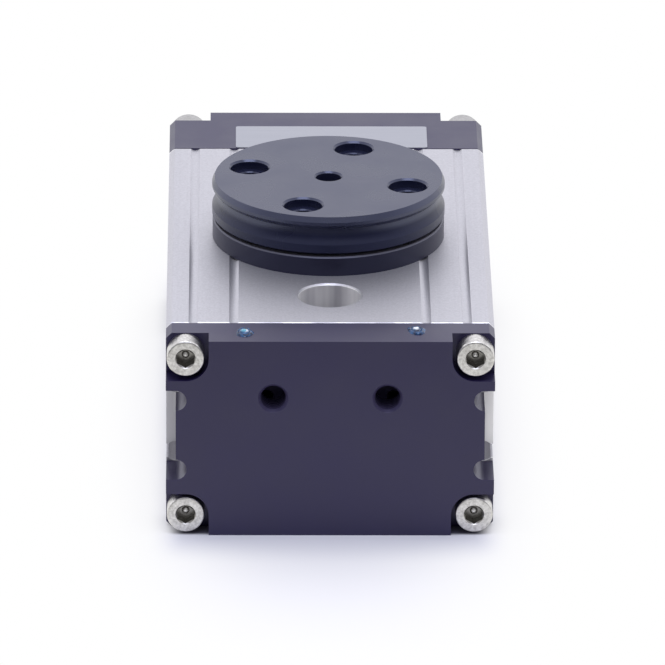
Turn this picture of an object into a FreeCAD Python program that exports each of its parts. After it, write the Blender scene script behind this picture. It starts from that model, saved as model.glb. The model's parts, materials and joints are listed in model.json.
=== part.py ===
import FreeCAD, Part
import math
import os
import Sketcher

# Driving sizes in millimetres; angles are in degrees.
SIZES = {
    # Extruded body
    "body_width": 76.0,
    "body_height": 48.4,
    "body_length": 114.0,
    "edge_chamfer": 1.3,
    "end_chamfer": 0.45,
    "groove_outer": 31.7,
    "groove_inner": 22.3,
    "groove_width": 2.2,
    "groove_depth": 0.5,
    "slot_radius": 2.5,
    "slot_inset": 2.27,
    "slot_rise": 8.6,
    "slot_lift": 0.85,
    "slot_mouth": 3.5,
    # Holes for fastening the module
    "mount_offset": 39.5,
    "mount_head_diameter": 14.6,
    "mount_head_depth": 9.0,
    "mount_bolt_diameter": 9.0,
    "rim_chamfer": 0.4,
    # End covers
    "front_thickness": 11.6,
    "rear_thickness": 24.5,
    "corner_radius": 5.35,
    "corner_depth": 5.43,
    "screw_inset_side": 4.55,
    "screw_inset_top": 4.5,
    "screw_inset_bottom": 4.95,
    "screw_diameter": 5.0,
    "screw_head_diameter": 8.72,
    "screw_head_height": 5.0,
    "screw_socket": 4.0,
    "screw_socket_depth": 3.0,
    "screw_edge_radius": 0.45,
    "socket_entry": 0.1,
    "front_screw_length": 20.0,
    "rear_screw_length": 30.0,
    "end_thread_room": 2.0,
    "through_play": 0.25,
    "thread_play": 0.02,
    # Air ports and sealed drillings
    "port_side": 13.2,
    "port_rise": 10.1,
    "port_diameter": 5.95,
    "port_depth": 7.5,
    "port_chamfer": 0.55,
    "link_side": 1.4,
    "link_drop": 2.5,
    "link_radius": 1.5,
    "link_depth": 5.2,
    "plug_side": 19.8,
    "plug_back": 5.4,
    "plug_radius": 1.65,
    "plug_sink": 0.2,
    "plug_drill_radius": 1.3,
    # Cylinder bores and their seals
    "bore_diameter": 20.0,
    "seal_land": 0.7,
    "seal_width": 1.9,
    "seal_depth": 1.4,
    "seal_side_play": 0.05,
    # Rack and pinion
    "tooth_module": 1.0,
    "tooth_count": 22.0,
    "pressure_angle": 20.0,
    "tooth_face": 16.0,
    "backlash": 0.16,
    "root_clearance": 0.25,
    "rack_inset": 5.5,
    "rack_play": 0.4,
    "rack_half_length": 28.0,
    "rack_gaps": 17.0,
    "swivel_half": 90.0,
    "rest_angle": -18.2,
    # Pistons
    "piston_length": 8.0,
    "piston_play": 0.05,
    "seal_play": 0.03,
    "guide_start": 1.2,
    "guide_width": 2.0,
    "guide_depth": 0.8,
    "lip_start": 4.4,
    "lip_width": 2.6,
    "lip_depth": 2.0,
    "lip_wall": 0.35,
    "lip_notch": 1.3,
    "magnet_radius": 7.0,
    "magnet_depth": 2.2,
    "spigot_radius": 3.0,
    "piston_screw_diameter": 4.0,
    "piston_screw_head": 7.0,
    "piston_screw_length": 10.0,
    "piston_screw_socket": 3.0,
    "piston_screw_edge": 0.3,
    "piston_screw_play": 0.2,
    "piston_head_play": 0.4,
    "piston_web": 1.6,
    "piston_chamfer": 0.5,
    # Stops in the rear cover
    "stop_diameter": 12.0,
    "stop_gap": 0.2,
    "stop_web": 12.0,
    "stop_tail": 2.5,
    "stop_socket": 6.0,
    "stop_socket_depth": 4.0,
    "stop_tip_chamfer": 0.3,
    "stop_end_chamfer": 0.8,
    "nut_across": 17.0,
    "nut_thickness": 5.0,
    "nut_room": 1.7,
    "nut_bevel_inset": 0.2,
    "nut_bevel_angle": 30.0,
    "bumper_radius": 5.0,
    "bumper_length": 2.0,
    "bumper_proud": 0.5,
    # Bearings: lower one under the pinion, upper one in the top of the body
    "lower_floor": 6.0,
    "lower_inner": 8.5,
    "lower_outer": 13.0,
    "lower_width": 5.0,
    "lower_ring_wall": 1.4,
    "lower_ball": 2.5,
    "lower_ball_count": 14.0,
    "lower_cage_wall": 0.6,
    "lower_shoulder": 1.5,
    "shaft_well": 1.0,
    "upper_inner": 15.0,
    "upper_outer": 21.0,
    "upper_width": 7.0,
    "upper_sink": 1.0,
    "ring_wall": 1.8,
    "upper_ball": 3.5,
    "upper_ball_count": 16.0,
    "upper_cage_wall": 1.0,
    "upper_shoulder": 3.0,
    "ball_play": 0.03,
    "cage_play": 0.1,
    "cage_side_gap": 0.15,
    "shield_width": 0.5,
    "shield_inset": 0.2,
    "shield_play": 0.05,
    # Pinion shaft
    "chamber_radius": 13.2,
    "collar_height": 3.2,
    "collar_lap": 0.1,
    "collar_room": 0.7,
    "shaft_stub": 0.4,
    "shaft_neck": 9.6,
    "shaft_step": 0.5,
    "shaft_top_play": 0.05,
    "shaft_tip_chamfer": 0.4,
    # Ring that holds the upper bearing
    "cover_ring_step": 0.1,
    "cover_ring_height": 4.7,
    "cover_ring_chamfer": 0.35,
    "ring_bore_play": 0.6,
    "ring_spigot_play": 0.05,
    "ring_foot_play": 0.3,
    "dust_groove_radius": 19.4,
    "dust_groove_start": 1.2,
    "dust_groove_width": 2.2,
    "dust_play": 0.04,
    "dust_side_play": 0.02,
    "ring_screw_wall": 1.1,
    "ring_screw_diameter": 3.0,
    "ring_screw_head": 5.6,
    "ring_screw_length": 12.0,
    "ring_screw_socket": 2.0,
    "ring_screw_socket_depth": 1.2,
    "ring_screw_play": 0.1,
    "ring_screw_rim": 0.3,
    "ring_screw_sink": 0.2,
    "ring_head_play": 0.02,
    "ring_thread_room": 0.5,
    # Output flange
    "flange_gap": 0.9,
    "flange_radius": 27.5,
    "flange_height": 9.0,
    "flange_foot_chamfer": 0.25,
    "flange_foot": 1.9,
    "rim_bevel_width": 0.6,
    "rim_bevel_drop": 1.25,
    "rim_land": 0.75,
    "rim_undercut_width": 0.6,
    "rim_undercut_drop": 0.75,
    "rim_root_depth": 1.1,
    "rim_root_drop": 0.45,
    "rim_cove_radius": 8.0,
    "hub_radius": 17.0,
    "hub_bore": 10.0,
    "flange_skin": 2.5,
    "centre_diameter": 6.0,
    "centre_chamfer": 0.4,
    "centre_depth": 14.5,
    "hole_count": 4.0,
    "hole_circle": 19.6,
    "hole_diameter": 9.0,
    "hole_depth": 2.2,
    "hole_chamfer": 0.45,
    "thread_entry": 0.3,
    "thread_diameter": 5.0,
    "thread_depth": 7.7,
    "key_width": 6.0,
    "key_length": 10.0,
    "key_start": 0.6,
    "key_shaft_depth": 3.5,
    "key_hub_depth": 2.8,
    "key_play": 0.02,
    "key_top_play": 0.3,
    "fit_play": 0.01,
}

# How far a cut runs past the face that it opens on
PAST = 1.0
# How far a tooth gap runs past the tooth tips
TIP_PAST = 0.2
# The bevel at a screw's point, as a share of its thread
POINT_SHARE = 0.1
# The screws of the bearing's ring lie on its diagonals
RING_TURN = 45.0
UPRIGHT = FreeCAD.Vector(0, 0, 1)

doc = FreeCAD.newDocument("RotaryModule")
sheet = doc.addObject("Spreadsheet::Sheet", "Sizes")
for row, size_name in enumerate(SIZES, start=1):
    sheet.set("A%d" % row, size_name)
    sheet.set("B%d" % row, str(SIZES[size_name]))
    sheet.setAlias("B%d" % row, size_name)
doc.recompute()


class Size:
    """A length with the formula that gives it."""

    def __init__(self, value, text):
        self.value = value
        self.text = text

    def join(self, other, sign, value):
        return Size(value, "(%s %s %s)" % (self.text, sign, other.text))

    def __add__(self, other):
        other = plain(other)
        return self.join(other, "+", self.value + other.value)

    def __radd__(self, other):
        return plain(other) + self

    def __sub__(self, other):
        other = plain(other)
        return self.join(other, "-", self.value - other.value)

    def __rsub__(self, other):
        return plain(other) - self

    def __mul__(self, other):
        other = plain(other)
        return self.join(other, "*", self.value * other.value)

    def __rmul__(self, other):
        return plain(other) * self

    def __truediv__(self, other):
        other = plain(other)
        return self.join(other, "/", self.value / other.value)

    def __neg__(self):
        return plain(0) - self

    def root(self):
        return Size(math.sqrt(self.value), "sqrt(%s)" % self.text)


def plain(number):
    if isinstance(number, Size):
        return number
    text = repr(float(number))
    return Size(float(number), "(%s)" % text if number < 0 else text)


class Cells:
    """Gives each driving size by its name."""

    def __getattr__(self, name):
        return Size(float(sheet.get(name)), "Sizes." + name)


at = Cells()
pieces = []


def bind(thing, path, size):
    thing.setExpression(path, plain(size).text)


def keep(thing, label):
    thing.Label = label
    pieces.append(thing)
    return thing


def new_body(name):
    return doc.addObject("PartDesign::Body", name)


def origin_feature(body, role):
    found = [f for f in body.Origin.OriginFeatures if f.Role == role]
    return found[0]


def new_sketch(body, name, plane, offset=0):
    drawing = body.newObject("Sketcher::SketchObject", name)
    drawing.AttachmentSupport = [(origin_feature(body, plane), "")]
    drawing.MapMode = "FlatFace"
    bind(drawing, "AttachmentOffset.Base.z", offset)
    return drawing


def pin(drawing, geometry, point, x, y):
    for kind, size in (("DistanceX", plain(x)), ("DistanceY", plain(y))):
        rule = Sketcher.Constraint(kind, -1, 1, geometry, point, size.value)
        bind(drawing, "Constraints[%d]" % drawing.addConstraint(rule), size)


def set_radius(drawing, geometry, radius):
    rule = Sketcher.Constraint("Radius", geometry, radius.value)
    bind(drawing, "Constraints[%d]" % drawing.addConstraint(rule), radius)


def circle(drawing, x, y, radius):
    centre = FreeCAD.Vector(plain(x).value, plain(y).value, 0)
    radius = plain(radius)
    geometry = drawing.addGeometry(Part.Circle(centre, UPRIGHT, radius.value))
    pin(drawing, geometry, 3, x, y)
    set_radius(drawing, geometry, radius)


def arc_between(start, end, radius, turn):
    """An arc from start to end that bends left (turn 1) or right (turn -1)."""
    chord = end - start
    left = FreeCAD.Vector(-chord.y, chord.x, 0).normalize()
    rise = math.sqrt(max(radius ** 2 - chord.Length ** 2 / 4, 0))
    centre = (start + end) * 0.5 + left * rise * turn
    first, last = (start, end) if turn > 0 else (end, start)
    angle_one = math.atan2(first.y - centre.y, first.x - centre.x)
    angle_two = math.atan2(last.y - centre.y, last.x - centre.x)
    if angle_two < angle_one:
        angle_two += 2 * math.pi
    whole = Part.Circle(centre, UPRIGHT, radius)
    return Part.ArcOfCircle(whole, angle_one, angle_two)


def outline(drawing, corners):
    """A closed chain; a corner (x, y) starts a line, (x, y, radius, turn) starts an arc."""
    spots = [FreeCAD.Vector(plain(c[0]).value, plain(c[1]).value, 0) for c in corners]
    starts = []
    ends = []
    for index, corner in enumerate(corners):
        start = spots[index]
        end = spots[(index + 1) % len(spots)]
        forward = True
        if len(corner) == 2:
            shape = Part.LineSegment(start, end)
        else:
            shape = arc_between(start, end, plain(corner[2]).value, corner[3])
            forward = corner[3] > 0
        geometry = drawing.addGeometry(shape)
        starts.append((geometry, 1 if forward else 2))
        ends.append((geometry, 2 if forward else 1))
    for index, corner in enumerate(corners):
        joint = Sketcher.Constraint("Coincident", *ends[index - 1], *starts[index])
        drawing.addConstraint(joint)
        pin(drawing, *starts[index], corner[0], corner[1])
        if len(corner) > 2:
            set_radius(drawing, starts[index][0], plain(corner[2]))


def pad(body, name, drawing, length):
    feature = body.newObject("PartDesign::Pad", name)
    feature.Profile = drawing
    bind(feature, "Length", length)
    return feature


def pocket(body, name, drawing, length=None, reverse=False, both=False):
    feature = body.newObject("PartDesign::Pocket", name)
    feature.Profile = drawing
    feature.Reversed = reverse
    if both:
        feature.SideType = "Symmetric"
    if length is None:
        feature.Type = "ThroughAll"
    else:
        bind(feature, "Length", length)
    return feature


def revolve(body, name, drawing):
    feature = body.newObject("PartDesign::Revolution", name)
    feature.Profile = drawing
    feature.ReferenceAxis = (drawing, ["V_Axis"])
    feature.Angle = 360
    return feature


def turned_cut(body, name, plane, offset, axis, corners):
    """Cuts a turned hole; corners are (radius, height) about a line at x = axis."""
    drawing = new_sketch(body, name + "_sketch", plane, offset)
    if axis is not None:
        middle = plain(axis)
        foot = FreeCAD.Vector(middle.value, 0, 0)
        head = FreeCAD.Vector(middle.value, at.body_height.value, 0)
        line = drawing.addGeometry(Part.LineSegment(foot, head), True)
        pin(drawing, line, 1, axis, 0)
        pin(drawing, line, 2, axis, at.body_height)
    outline(drawing, [(plain(axis or 0) + radius, height) for radius, height in corners])
    feature = body.newObject("PartDesign::Groove", name)
    feature.Profile = drawing
    feature.ReferenceAxis = (drawing, ["V_Axis" if axis is None else "Axis0"])
    feature.Angle = 360
    return feature


def polar_pattern(body, name, feature, count):
    copies = body.newObject("PartDesign::PolarPattern", name)
    copies.Originals = [feature]
    copies.Axis = (origin_feature(body, "Z_Axis"), [""])
    copies.Angle = 360
    copies.Occurrences = count
    body.Tip = copies
    return copies


def place(thing, x=0, y=0, z=0, turn=0):
    thing.Placement = FreeCAD.Placement(FreeCAD.Vector(), FreeCAD.Rotation(UPRIGHT, turn))
    bind(thing, "Placement.Base.x", x)
    bind(thing, "Placement.Base.y", y)
    bind(thing, "Placement.Base.z", z)


def group(label, members):
    bundle = doc.addObject("Part::Compound", label)
    bundle.Links = members
    return keep(bundle, label)


def turned_piece(name, plane, corners):
    """A piece turned about Y (plane XY) or Z (plane XZ); corners are (radius, height)."""
    body = new_body(name)
    drawing = new_sketch(body, name + "_sketch", plane)
    outline(drawing, corners)
    revolve(body, name + "_turned", drawing)
    return body


def ring_along_y(name, inner, outer, start, end):
    return turned_piece(name, "XY_Plane", [(inner, start), (outer, start), (outer, end), (inner, end)])


def ring_along_z(name, inner, outer, start, end):
    return turned_piece(name, "XZ_Plane", [(inner, start), (outer, start), (outer, end), (inner, end)])


def hexagon(drawing, across):
    reach = across / math.sqrt(3)
    corners = []
    for step in range(6):
        angle = math.radians(60 * step + 30)
        corners.append((reach * math.cos(angle), reach * math.sin(angle)))
    outline(drawing, corners)


def cap_screw(name, thread, head, height, length, socket, depth, edge, out):
    """A socket head screw along Y, its head on the side that out (1 or -1) points to."""
    body = new_body(name)
    drawing = new_sketch(body, name + "_sketch", "XY_Plane")
    crown = height * out
    tail = length * -out
    tip = thread * POINT_SHARE
    outline(drawing, [
        (0, crown),
        (head / 2 - edge, crown, edge, -out),
        (head / 2, crown - edge * out),
        (head / 2, 0),
        (thread / 2, 0),
        (thread / 2, tail + tip * out),
        (thread / 2 - tip, tail),
        (0, tail),
    ])
    revolve(body, name + "_turned", drawing)
    key = new_sketch(body, name + "_key", "XZ_Plane", -crown)
    hexagon(key, socket)
    pocket(body, name + "_socket", key, depth, reverse=out > 0)
    mouth = socket / math.sqrt(3) + at.socket_entry
    mouth_floor = crown - (mouth - socket / 2) * out
    turned_cut(body, name + "_socket_mouth", "XY_Plane", 0, None, [
        (0, crown + PAST * out),
        (mouth + PAST, crown + PAST * out),
        (socket / 2, mouth_floor),
        (0, mouth_floor),
    ])
    return body


# Shared places
half_width = at.body_width / 2
half_length = at.body_length / 2
middle_height = at.body_height / 2
port_level = middle_height + at.port_rise
link_level = port_level - at.link_drop
bore_radius = at.bore_diameter / 2
pitch_radius = at.tooth_module * at.tooth_count / 2
tip_radius = pitch_radius + at.tooth_module
root_radius = pitch_radius - at.tooth_module - at.root_clearance
bore_side = pitch_radius + at.rack_inset
screw_side = half_width - at.screw_inset_side
screw_rise = (at.body_height - at.screw_inset_top - at.screw_inset_bottom) / 2
screw_middle = at.screw_inset_bottom + screw_rise
slot_reach = half_width - at.slot_inset
slot_middle = middle_height + at.slot_lift
travel = pitch_radius * at.swivel_half * (math.pi / 180)
rest_shift = pitch_radius * at.rest_angle * (math.pi / 180)
lower_top = at.lower_floor + at.lower_width
upper_top = at.body_height - at.upper_sink
upper_floor = upper_top - at.upper_width
collar_floor = upper_floor - at.collar_height
clear_floor = collar_floor - at.collar_room
clear_radius = at.upper_outer - at.upper_shoulder
ring_top = at.body_height + at.cover_ring_height
flange_floor = ring_top + at.flange_gap
flange_top = flange_floor + at.flange_height
signs = (-1, 1)
screw_spots = [(side, rise) for side in signs for rise in signs]


# Extruded body
def housing_outline():
    """The extrusion's cross section, anticlockwise from the lower right chamfer."""
    chamfer = at.edge_chamfer
    mouth = at.slot_mouth / 2
    radius = at.slot_radius
    lip = slot_reach + (radius * radius - mouth * mouth).root()
    half_groove = at.groove_width / 2
    bend = (half_groove * half_groove / at.groove_depth + at.groove_depth) / 2
    path = [(chamfer - half_width, 0), (half_width - chamfer, 0), (half_width, chamfer)]
    for side in signs:
        level = slot_middle + at.slot_rise * side
        path += [
            (half_width, level - mouth),
            (lip, level - mouth, radius, -1),
            (slot_reach, level - radius, radius, -1),
            (slot_reach - radius, level, radius, -1),
            (slot_reach, level + radius, radius, -1),
            (lip, level + mouth),
            (half_width, level + mouth),
        ]
    path += [(half_width, at.body_height - chamfer), (half_width - chamfer, at.body_height)]
    for spot in (at.groove_outer, at.groove_inner, -at.groove_inner, -at.groove_outer):
        path += [
            (spot + half_groove, at.body_height, bend, -1),
            (spot, at.body_height - at.groove_depth, bend, -1),
            (spot - half_groove, at.body_height),
        ]
    path += [(chamfer - half_width, at.body_height), (-half_width, at.body_height - chamfer)]
    for side in (1, -1):
        level = slot_middle + at.slot_rise * side
        path += [
            (-half_width, level + mouth),
            (-lip, level + mouth, radius, -1),
            (-slot_reach, level + radius, radius, -1),
            (radius - slot_reach, level, radius, -1),
            (-slot_reach, level - radius, radius, -1),
            (-lip, level - mouth),
            (-half_width, level - mouth),
        ]
    path.append((-half_width, chamfer))
    return path


housing = new_body("housing")
drawing = new_sketch(housing, "section", "XZ_Plane", -half_length)
outline(drawing, housing_outline())
pad(housing, "extrusion", drawing, at.body_length)

drawing = new_sketch(housing, "end_edges", "YZ_Plane")
for side in signs:
    outline(drawing, [
        (half_length * side, at.body_height - at.end_chamfer),
        ((half_length + PAST) * side, at.body_height - at.end_chamfer),
        ((half_length + PAST) * side, at.body_height + PAST),
        ((half_length - at.end_chamfer - PAST) * side, at.body_height + PAST),
    ])
pocket(housing, "end_edge_cut", drawing, both=True)

drawing = new_sketch(housing, "bores", "XZ_Plane", half_length)
for side in signs:
    circle(drawing, bore_side * side, middle_height, bore_radius)
pocket(housing, "bore_cut", drawing)

turned_cut(housing, "bearing_seats", "XZ_Plane", 0, None, [
    (0, at.lower_floor - at.shaft_well),
    (at.lower_outer - at.lower_shoulder, at.lower_floor - at.shaft_well),
    (at.lower_outer - at.lower_shoulder, at.lower_floor),
    (at.lower_outer, at.lower_floor),
    (at.lower_outer, lower_top),
    (at.chamber_radius, lower_top),
    (at.chamber_radius, clear_floor),
    (clear_radius, clear_floor),
    (clear_radius, upper_floor),
    (at.upper_outer, upper_floor),
    (at.upper_outer, at.body_height + PAST),
    (0, at.body_height + PAST),
])

for side in signs:
    turned_cut(housing, "mount_hole", "XZ_Plane", at.mount_offset * side, 0, [
        (0, -PAST),
        (at.mount_bolt_diameter / 2, -PAST),
        (at.mount_bolt_diameter / 2, at.body_height - at.mount_head_depth),
        (at.mount_head_diameter / 2, at.body_height - at.mount_head_depth),
        (at.mount_head_diameter / 2, at.body_height - at.rim_chamfer),
        (at.mount_head_diameter / 2 + at.rim_chamfer + PAST, at.body_height + PAST),
        (0, at.body_height + PAST),
    ])

thread_core = at.screw_diameter / 2 + at.thread_play
for side, thickness, length in (
    (-1, at.front_thickness, at.front_screw_length),
    (1, at.rear_thickness, at.rear_screw_length),
):
    drawing = new_sketch(housing, "end_threads", "XZ_Plane", half_length * -side)
    for across, rise in screw_spots:
        circle(drawing, screw_side * across, screw_middle + screw_rise * rise, thread_core)
    depth = length - thickness + at.corner_depth + at.end_thread_room
    pocket(housing, "end_thread_cut", drawing, depth, reverse=side > 0)

drawing = new_sketch(housing, "ring_threads", "XY_Plane", at.body_height)
ring_screw_circle = at.upper_outer + at.ring_screw_wall + at.ring_screw_diameter / 2
ring_screw_side = ring_screw_circle / math.sqrt(2)
ring_thread_core = at.ring_screw_diameter / 2 + at.thread_play
for across, along in screw_spots:
    circle(drawing, ring_screw_side * across, ring_screw_side * along, ring_thread_core)
ring_thread_depth = at.ring_screw_length - at.cover_ring_height + at.ring_thread_room
pocket(housing, "ring_thread_cut", drawing, ring_thread_depth)
keep(housing, "housing")


# End covers
def cover_outline():
    """The covers' outline: the body's, with a notch over the slots on each side."""
    chamfer = at.edge_chamfer
    radius = at.slot_radius
    path = [(chamfer - half_width, 0), (half_width - chamfer, 0), (half_width, chamfer)]
    path.append((half_width, slot_middle - at.slot_rise - radius))
    for side in signs:
        level = slot_middle + at.slot_rise * side
        path += [
            (slot_reach, level - radius, radius, -1),
            (slot_reach - radius, level, radius, -1),
            (slot_reach, level + radius),
        ]
    path.append((half_width, slot_middle + at.slot_rise + radius))
    path += [(half_width, at.body_height - chamfer), (half_width - chamfer, at.body_height)]
    path += [(chamfer - half_width, at.body_height), (-half_width, at.body_height - chamfer)]
    path.append((-half_width, slot_middle + at.slot_rise + radius))
    for side in (1, -1):
        level = slot_middle + at.slot_rise * side
        path += [
            (-slot_reach, level + radius, radius, -1),
            (radius - slot_reach, level, radius, -1),
            (-slot_reach, level - radius),
        ]
    path.append((-half_width, slot_middle - at.slot_rise - radius))
    path.append((-half_width, chamfer))
    return path


def end_cover(name, thickness, out):
    """A cover on the body end that out (1 rear, -1 front) points to."""
    body = new_body(name)
    inner = half_length * out
    outer = (half_length + thickness) * out
    drawing = new_sketch(body, name + "_outline", "XZ_Plane", -inner if out < 0 else -outer)
    outline(drawing, cover_outline())
    pad(body, name + "_plate", drawing, thickness)

    drawing = new_sketch(body, name + "_corners", "XZ_Plane", -outer)
    for across, rise in screw_spots:
        near = (screw_side - at.corner_radius) * across
        level = screw_middle + (screw_rise - at.corner_radius) * rise
        edge_x = (half_width + PAST) * across
        edge_z = middle_height + (middle_height + PAST) * rise
        outline(drawing, [
            (near, edge_z),
            (near, screw_middle + screw_rise * rise, at.corner_radius, across * rise),
            (screw_side * across, level),
            (edge_x, level),
            (edge_x, edge_z),
        ])
    pocket(body, name + "_corner_cut", drawing, at.corner_depth, reverse=out > 0)

    drawing = new_sketch(body, name + "_holes", "XZ_Plane", -outer)
    through = at.screw_diameter / 2 + at.through_play
    for across, rise in screw_spots:
        circle(drawing, screw_side * across, screw_middle + screw_rise * rise, through)
    pocket(body, name + "_hole_cut", drawing, thickness + PAST, reverse=out > 0)

    drawing = new_sketch(body, name + "_grooves", "XZ_Plane", -inner)
    for side in signs:
        circle(drawing, bore_side * side, middle_height, bore_radius + at.seal_land)
        circle(drawing, bore_side * side, middle_height, bore_radius + at.seal_land + at.seal_width)
    pocket(body, name + "_groove_cut", drawing, at.seal_depth, reverse=out < 0)
    return body


front_cover = end_cover("front_cover", at.front_thickness, -1)
front_face = -half_length - at.front_thickness
plug_level = at.body_height - at.plug_sink - at.plug_radius
plug_drop = at.plug_radius * at.plug_radius - at.plug_drill_radius * at.plug_drill_radius
plug_seat = plug_level - plug_drop.root()
drill_floor = link_level - at.link_radius
port_core = at.port_diameter / 2
for side in signs:
    turned_cut(front_cover, "port", "XY_Plane", port_level, at.port_side * side, [
        (0, front_face - PAST),
        (port_core + at.port_chamfer + PAST, front_face - PAST),
        (port_core, front_face + at.port_chamfer),
        (port_core, front_face + at.port_depth),
        (0, front_face + at.port_depth),
    ])
    turned_cut(front_cover, "plug_hole", "XZ_Plane", half_length + at.plug_back, at.plug_side * side, [
        (0, at.body_height + PAST),
        (at.plug_radius + at.fit_play, at.body_height + PAST),
        (at.plug_radius + at.fit_play, plug_seat),
        (at.plug_drill_radius, plug_seat),
        (at.plug_drill_radius, drill_floor),
        (0, drill_floor),
    ])
drawing = new_sketch(front_cover, "port_links", "XZ_Plane", half_length)
for side in signs:
    circle(drawing, (at.port_side + at.link_side) * side, link_level, at.link_radius)
pocket(front_cover, "port_link_cut", drawing, at.link_depth, reverse=True)
drawing = new_sketch(front_cover, "plug_links", "XZ_Plane", half_length)
for side in signs:
    circle(drawing, at.plug_side * side, link_level, at.link_radius)
pocket(front_cover, "plug_link_cut", drawing, at.plug_back + at.link_radius, reverse=True)
keep(front_cover, "front_cover")

rear_cover = end_cover("rear_cover", at.rear_thickness, 1)
rear_face = half_length + at.rear_thickness
nut_seat = half_length + at.stop_web
nut_reach = at.nut_across / math.sqrt(3) + at.nut_room
for side in signs:
    turned_cut(rear_cover, "stop_hole", "XY_Plane", middle_height, bore_side * side, [
        (0, half_length - PAST),
        (at.stop_diameter / 2 + at.thread_play, half_length - PAST),
        (at.stop_diameter / 2 + at.thread_play, nut_seat),
        (nut_reach, nut_seat),
        (nut_reach, rear_face + PAST),
        (0, rear_face + PAST),
    ])
keep(rear_cover, "rear_cover")

# Cover screws and bore seals
for name, out, thickness, length in (
    ("front", -1, at.front_thickness, at.front_screw_length),
    ("rear", 1, at.rear_thickness, at.rear_screw_length),
):
    screws = []
    for across, rise in screw_spots:
        screw = cap_screw(
            name + "_cover_screw", at.screw_diameter, at.screw_head_diameter, at.screw_head_height, length,
            at.screw_socket, at.screw_socket_depth, at.screw_edge_radius, out)
        seat = (half_length + thickness - at.corner_depth) * out
        place(screw, screw_side * across, seat, screw_middle + screw_rise * rise)
        screws.append(screw)
    group(name + "_cover_screws", screws)
    seals = []
    seal_inner = bore_radius + at.seal_land + at.seal_side_play
    seal_outer = bore_radius + at.seal_land + at.seal_width - at.seal_side_play
    for side in signs:
        seal = ring_along_y(
            name + "_bore_seal", seal_inner, seal_outer,
            half_length * out, (half_length + at.seal_depth) * out)
        place(seal, bore_side * side, 0, middle_height)
        seals.append(seal)
    group(name + "_bore_seals", seals)

plugs = []
for side in signs:
    ball = doc.addObject("Part::Sphere", "channel_plug")
    bind(ball, "Radius", at.plug_radius)
    place(ball, at.plug_side * side, -half_length - at.plug_back, plug_level)
    plugs.append(ball)
group("channel_plugs", plugs)


# Bearings: two grooved rings, balls in a cage between them, and two shields
def bearing(name, inner, outer, wall, floor, width, ball_diameter, ball_count, cage_wall):
    inner_shoulder = inner + wall
    outer_shoulder = outer - wall
    top = floor + width
    middle = floor + width / 2
    ball_circle = (inner + outer) / 2
    ball_radius = ball_diameter / 2
    race = ball_radius + at.ball_play
    land = ball_circle - inner_shoulder
    half_race = (race * race - land * land).root()
    outer_ring = turned_piece(name + "_bearing_outer_ring", "XZ_Plane", [
        (outer_shoulder, floor),
        (outer, floor),
        (outer, top),
        (outer_shoulder, top),
        (outer_shoulder, middle + half_race, race, -1),
        (outer_shoulder, middle - half_race),
    ])
    keep(outer_ring, name + "_bearing_outer_ring")
    inner_ring = turned_piece(name + "_bearing_inner_ring", "XZ_Plane", [
        (inner, floor),
        (inner_shoulder, floor),
        (inner_shoulder, middle - half_race, race, -1),
        (inner_shoulder, middle + half_race),
        (inner_shoulder, top),
        (inner, top),
    ])
    keep(inner_ring, name + "_bearing_inner_ring")

    count = int(ball_count.value)
    balls = []
    for step in range(count):
        angle = 2 * math.pi * step / count
        ball = doc.addObject("Part::Sphere", name + "_ball")
        bind(ball, "Radius", ball_radius)
        place(ball, ball_circle * math.cos(angle), ball_circle * math.sin(angle), middle)
        balls.append(ball)
    group(name + "_bearing_balls", balls)

    half_cage = width / 2 - at.shield_inset - at.shield_width - at.cage_side_gap
    cage = ring_along_z(
        name + "_bearing_cage", ball_circle - cage_wall / 2, ball_circle + cage_wall / 2,
        middle - half_cage, middle + half_cage)
    drawing = new_sketch(cage, name + "_cage_window", "YZ_Plane")
    circle(drawing, 0, middle, ball_radius + at.cage_play)
    window = pocket(cage, name + "_cage_window_cut", drawing, outer, reverse=True)
    polar_pattern(cage, name + "_cage_windows", window, count)
    keep(cage, name + "_bearing_cage")

    shields = []
    shield_inner = inner_shoulder + at.shield_play
    for start in (floor + at.shield_inset, top - at.shield_inset - at.shield_width):
        end = start + at.shield_width
        shields.append(ring_along_z(name + "_shield", shield_inner, outer_shoulder, start, end))
    group(name + "_bearing_shields", shields)


bearing(
    "lower", at.lower_inner, at.lower_outer, at.lower_ring_wall, at.lower_floor, at.lower_width,
    at.lower_ball, at.lower_ball_count, at.lower_cage_wall)
bearing(
    "upper", at.upper_inner, at.upper_outer, at.ring_wall, upper_floor, at.upper_width,
    at.upper_ball, at.upper_ball_count, at.upper_cage_wall)

# Ring that holds the upper bearing, with its screws and dust seal
dust_start = at.body_height + at.dust_groove_start
dust_end = dust_start + at.dust_groove_width
ring_bore = at.hub_radius + at.ring_bore_play
spigot_inner = at.upper_outer - at.ring_wall - at.ring_foot_play
spigot_outer = at.upper_outer - at.ring_spigot_play
cover_ring_radius = at.flange_radius - at.cover_ring_step
bearing_cover = new_body("bearing_cover")
drawing = new_sketch(bearing_cover, "ring_section", "XZ_Plane")
outline(drawing, [
    (ring_bore, at.body_height),
    (spigot_inner, at.body_height),
    (spigot_inner, upper_top),
    (spigot_outer, upper_top),
    (spigot_outer, at.body_height),
    (cover_ring_radius, at.body_height),
    (cover_ring_radius, ring_top - at.cover_ring_chamfer),
    (cover_ring_radius - at.cover_ring_chamfer, ring_top),
    (ring_bore, ring_top),
    (ring_bore, dust_end),
    (at.dust_groove_radius, dust_end),
    (at.dust_groove_radius, dust_start),
    (ring_bore, dust_start),
])
revolve(bearing_cover, "ring_turned", drawing)
head_radius = at.ring_screw_head / 2
shank_radius = at.ring_screw_diameter / 2
cone = head_radius - shank_radius
rim_floor = ring_top - at.ring_screw_rim
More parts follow.
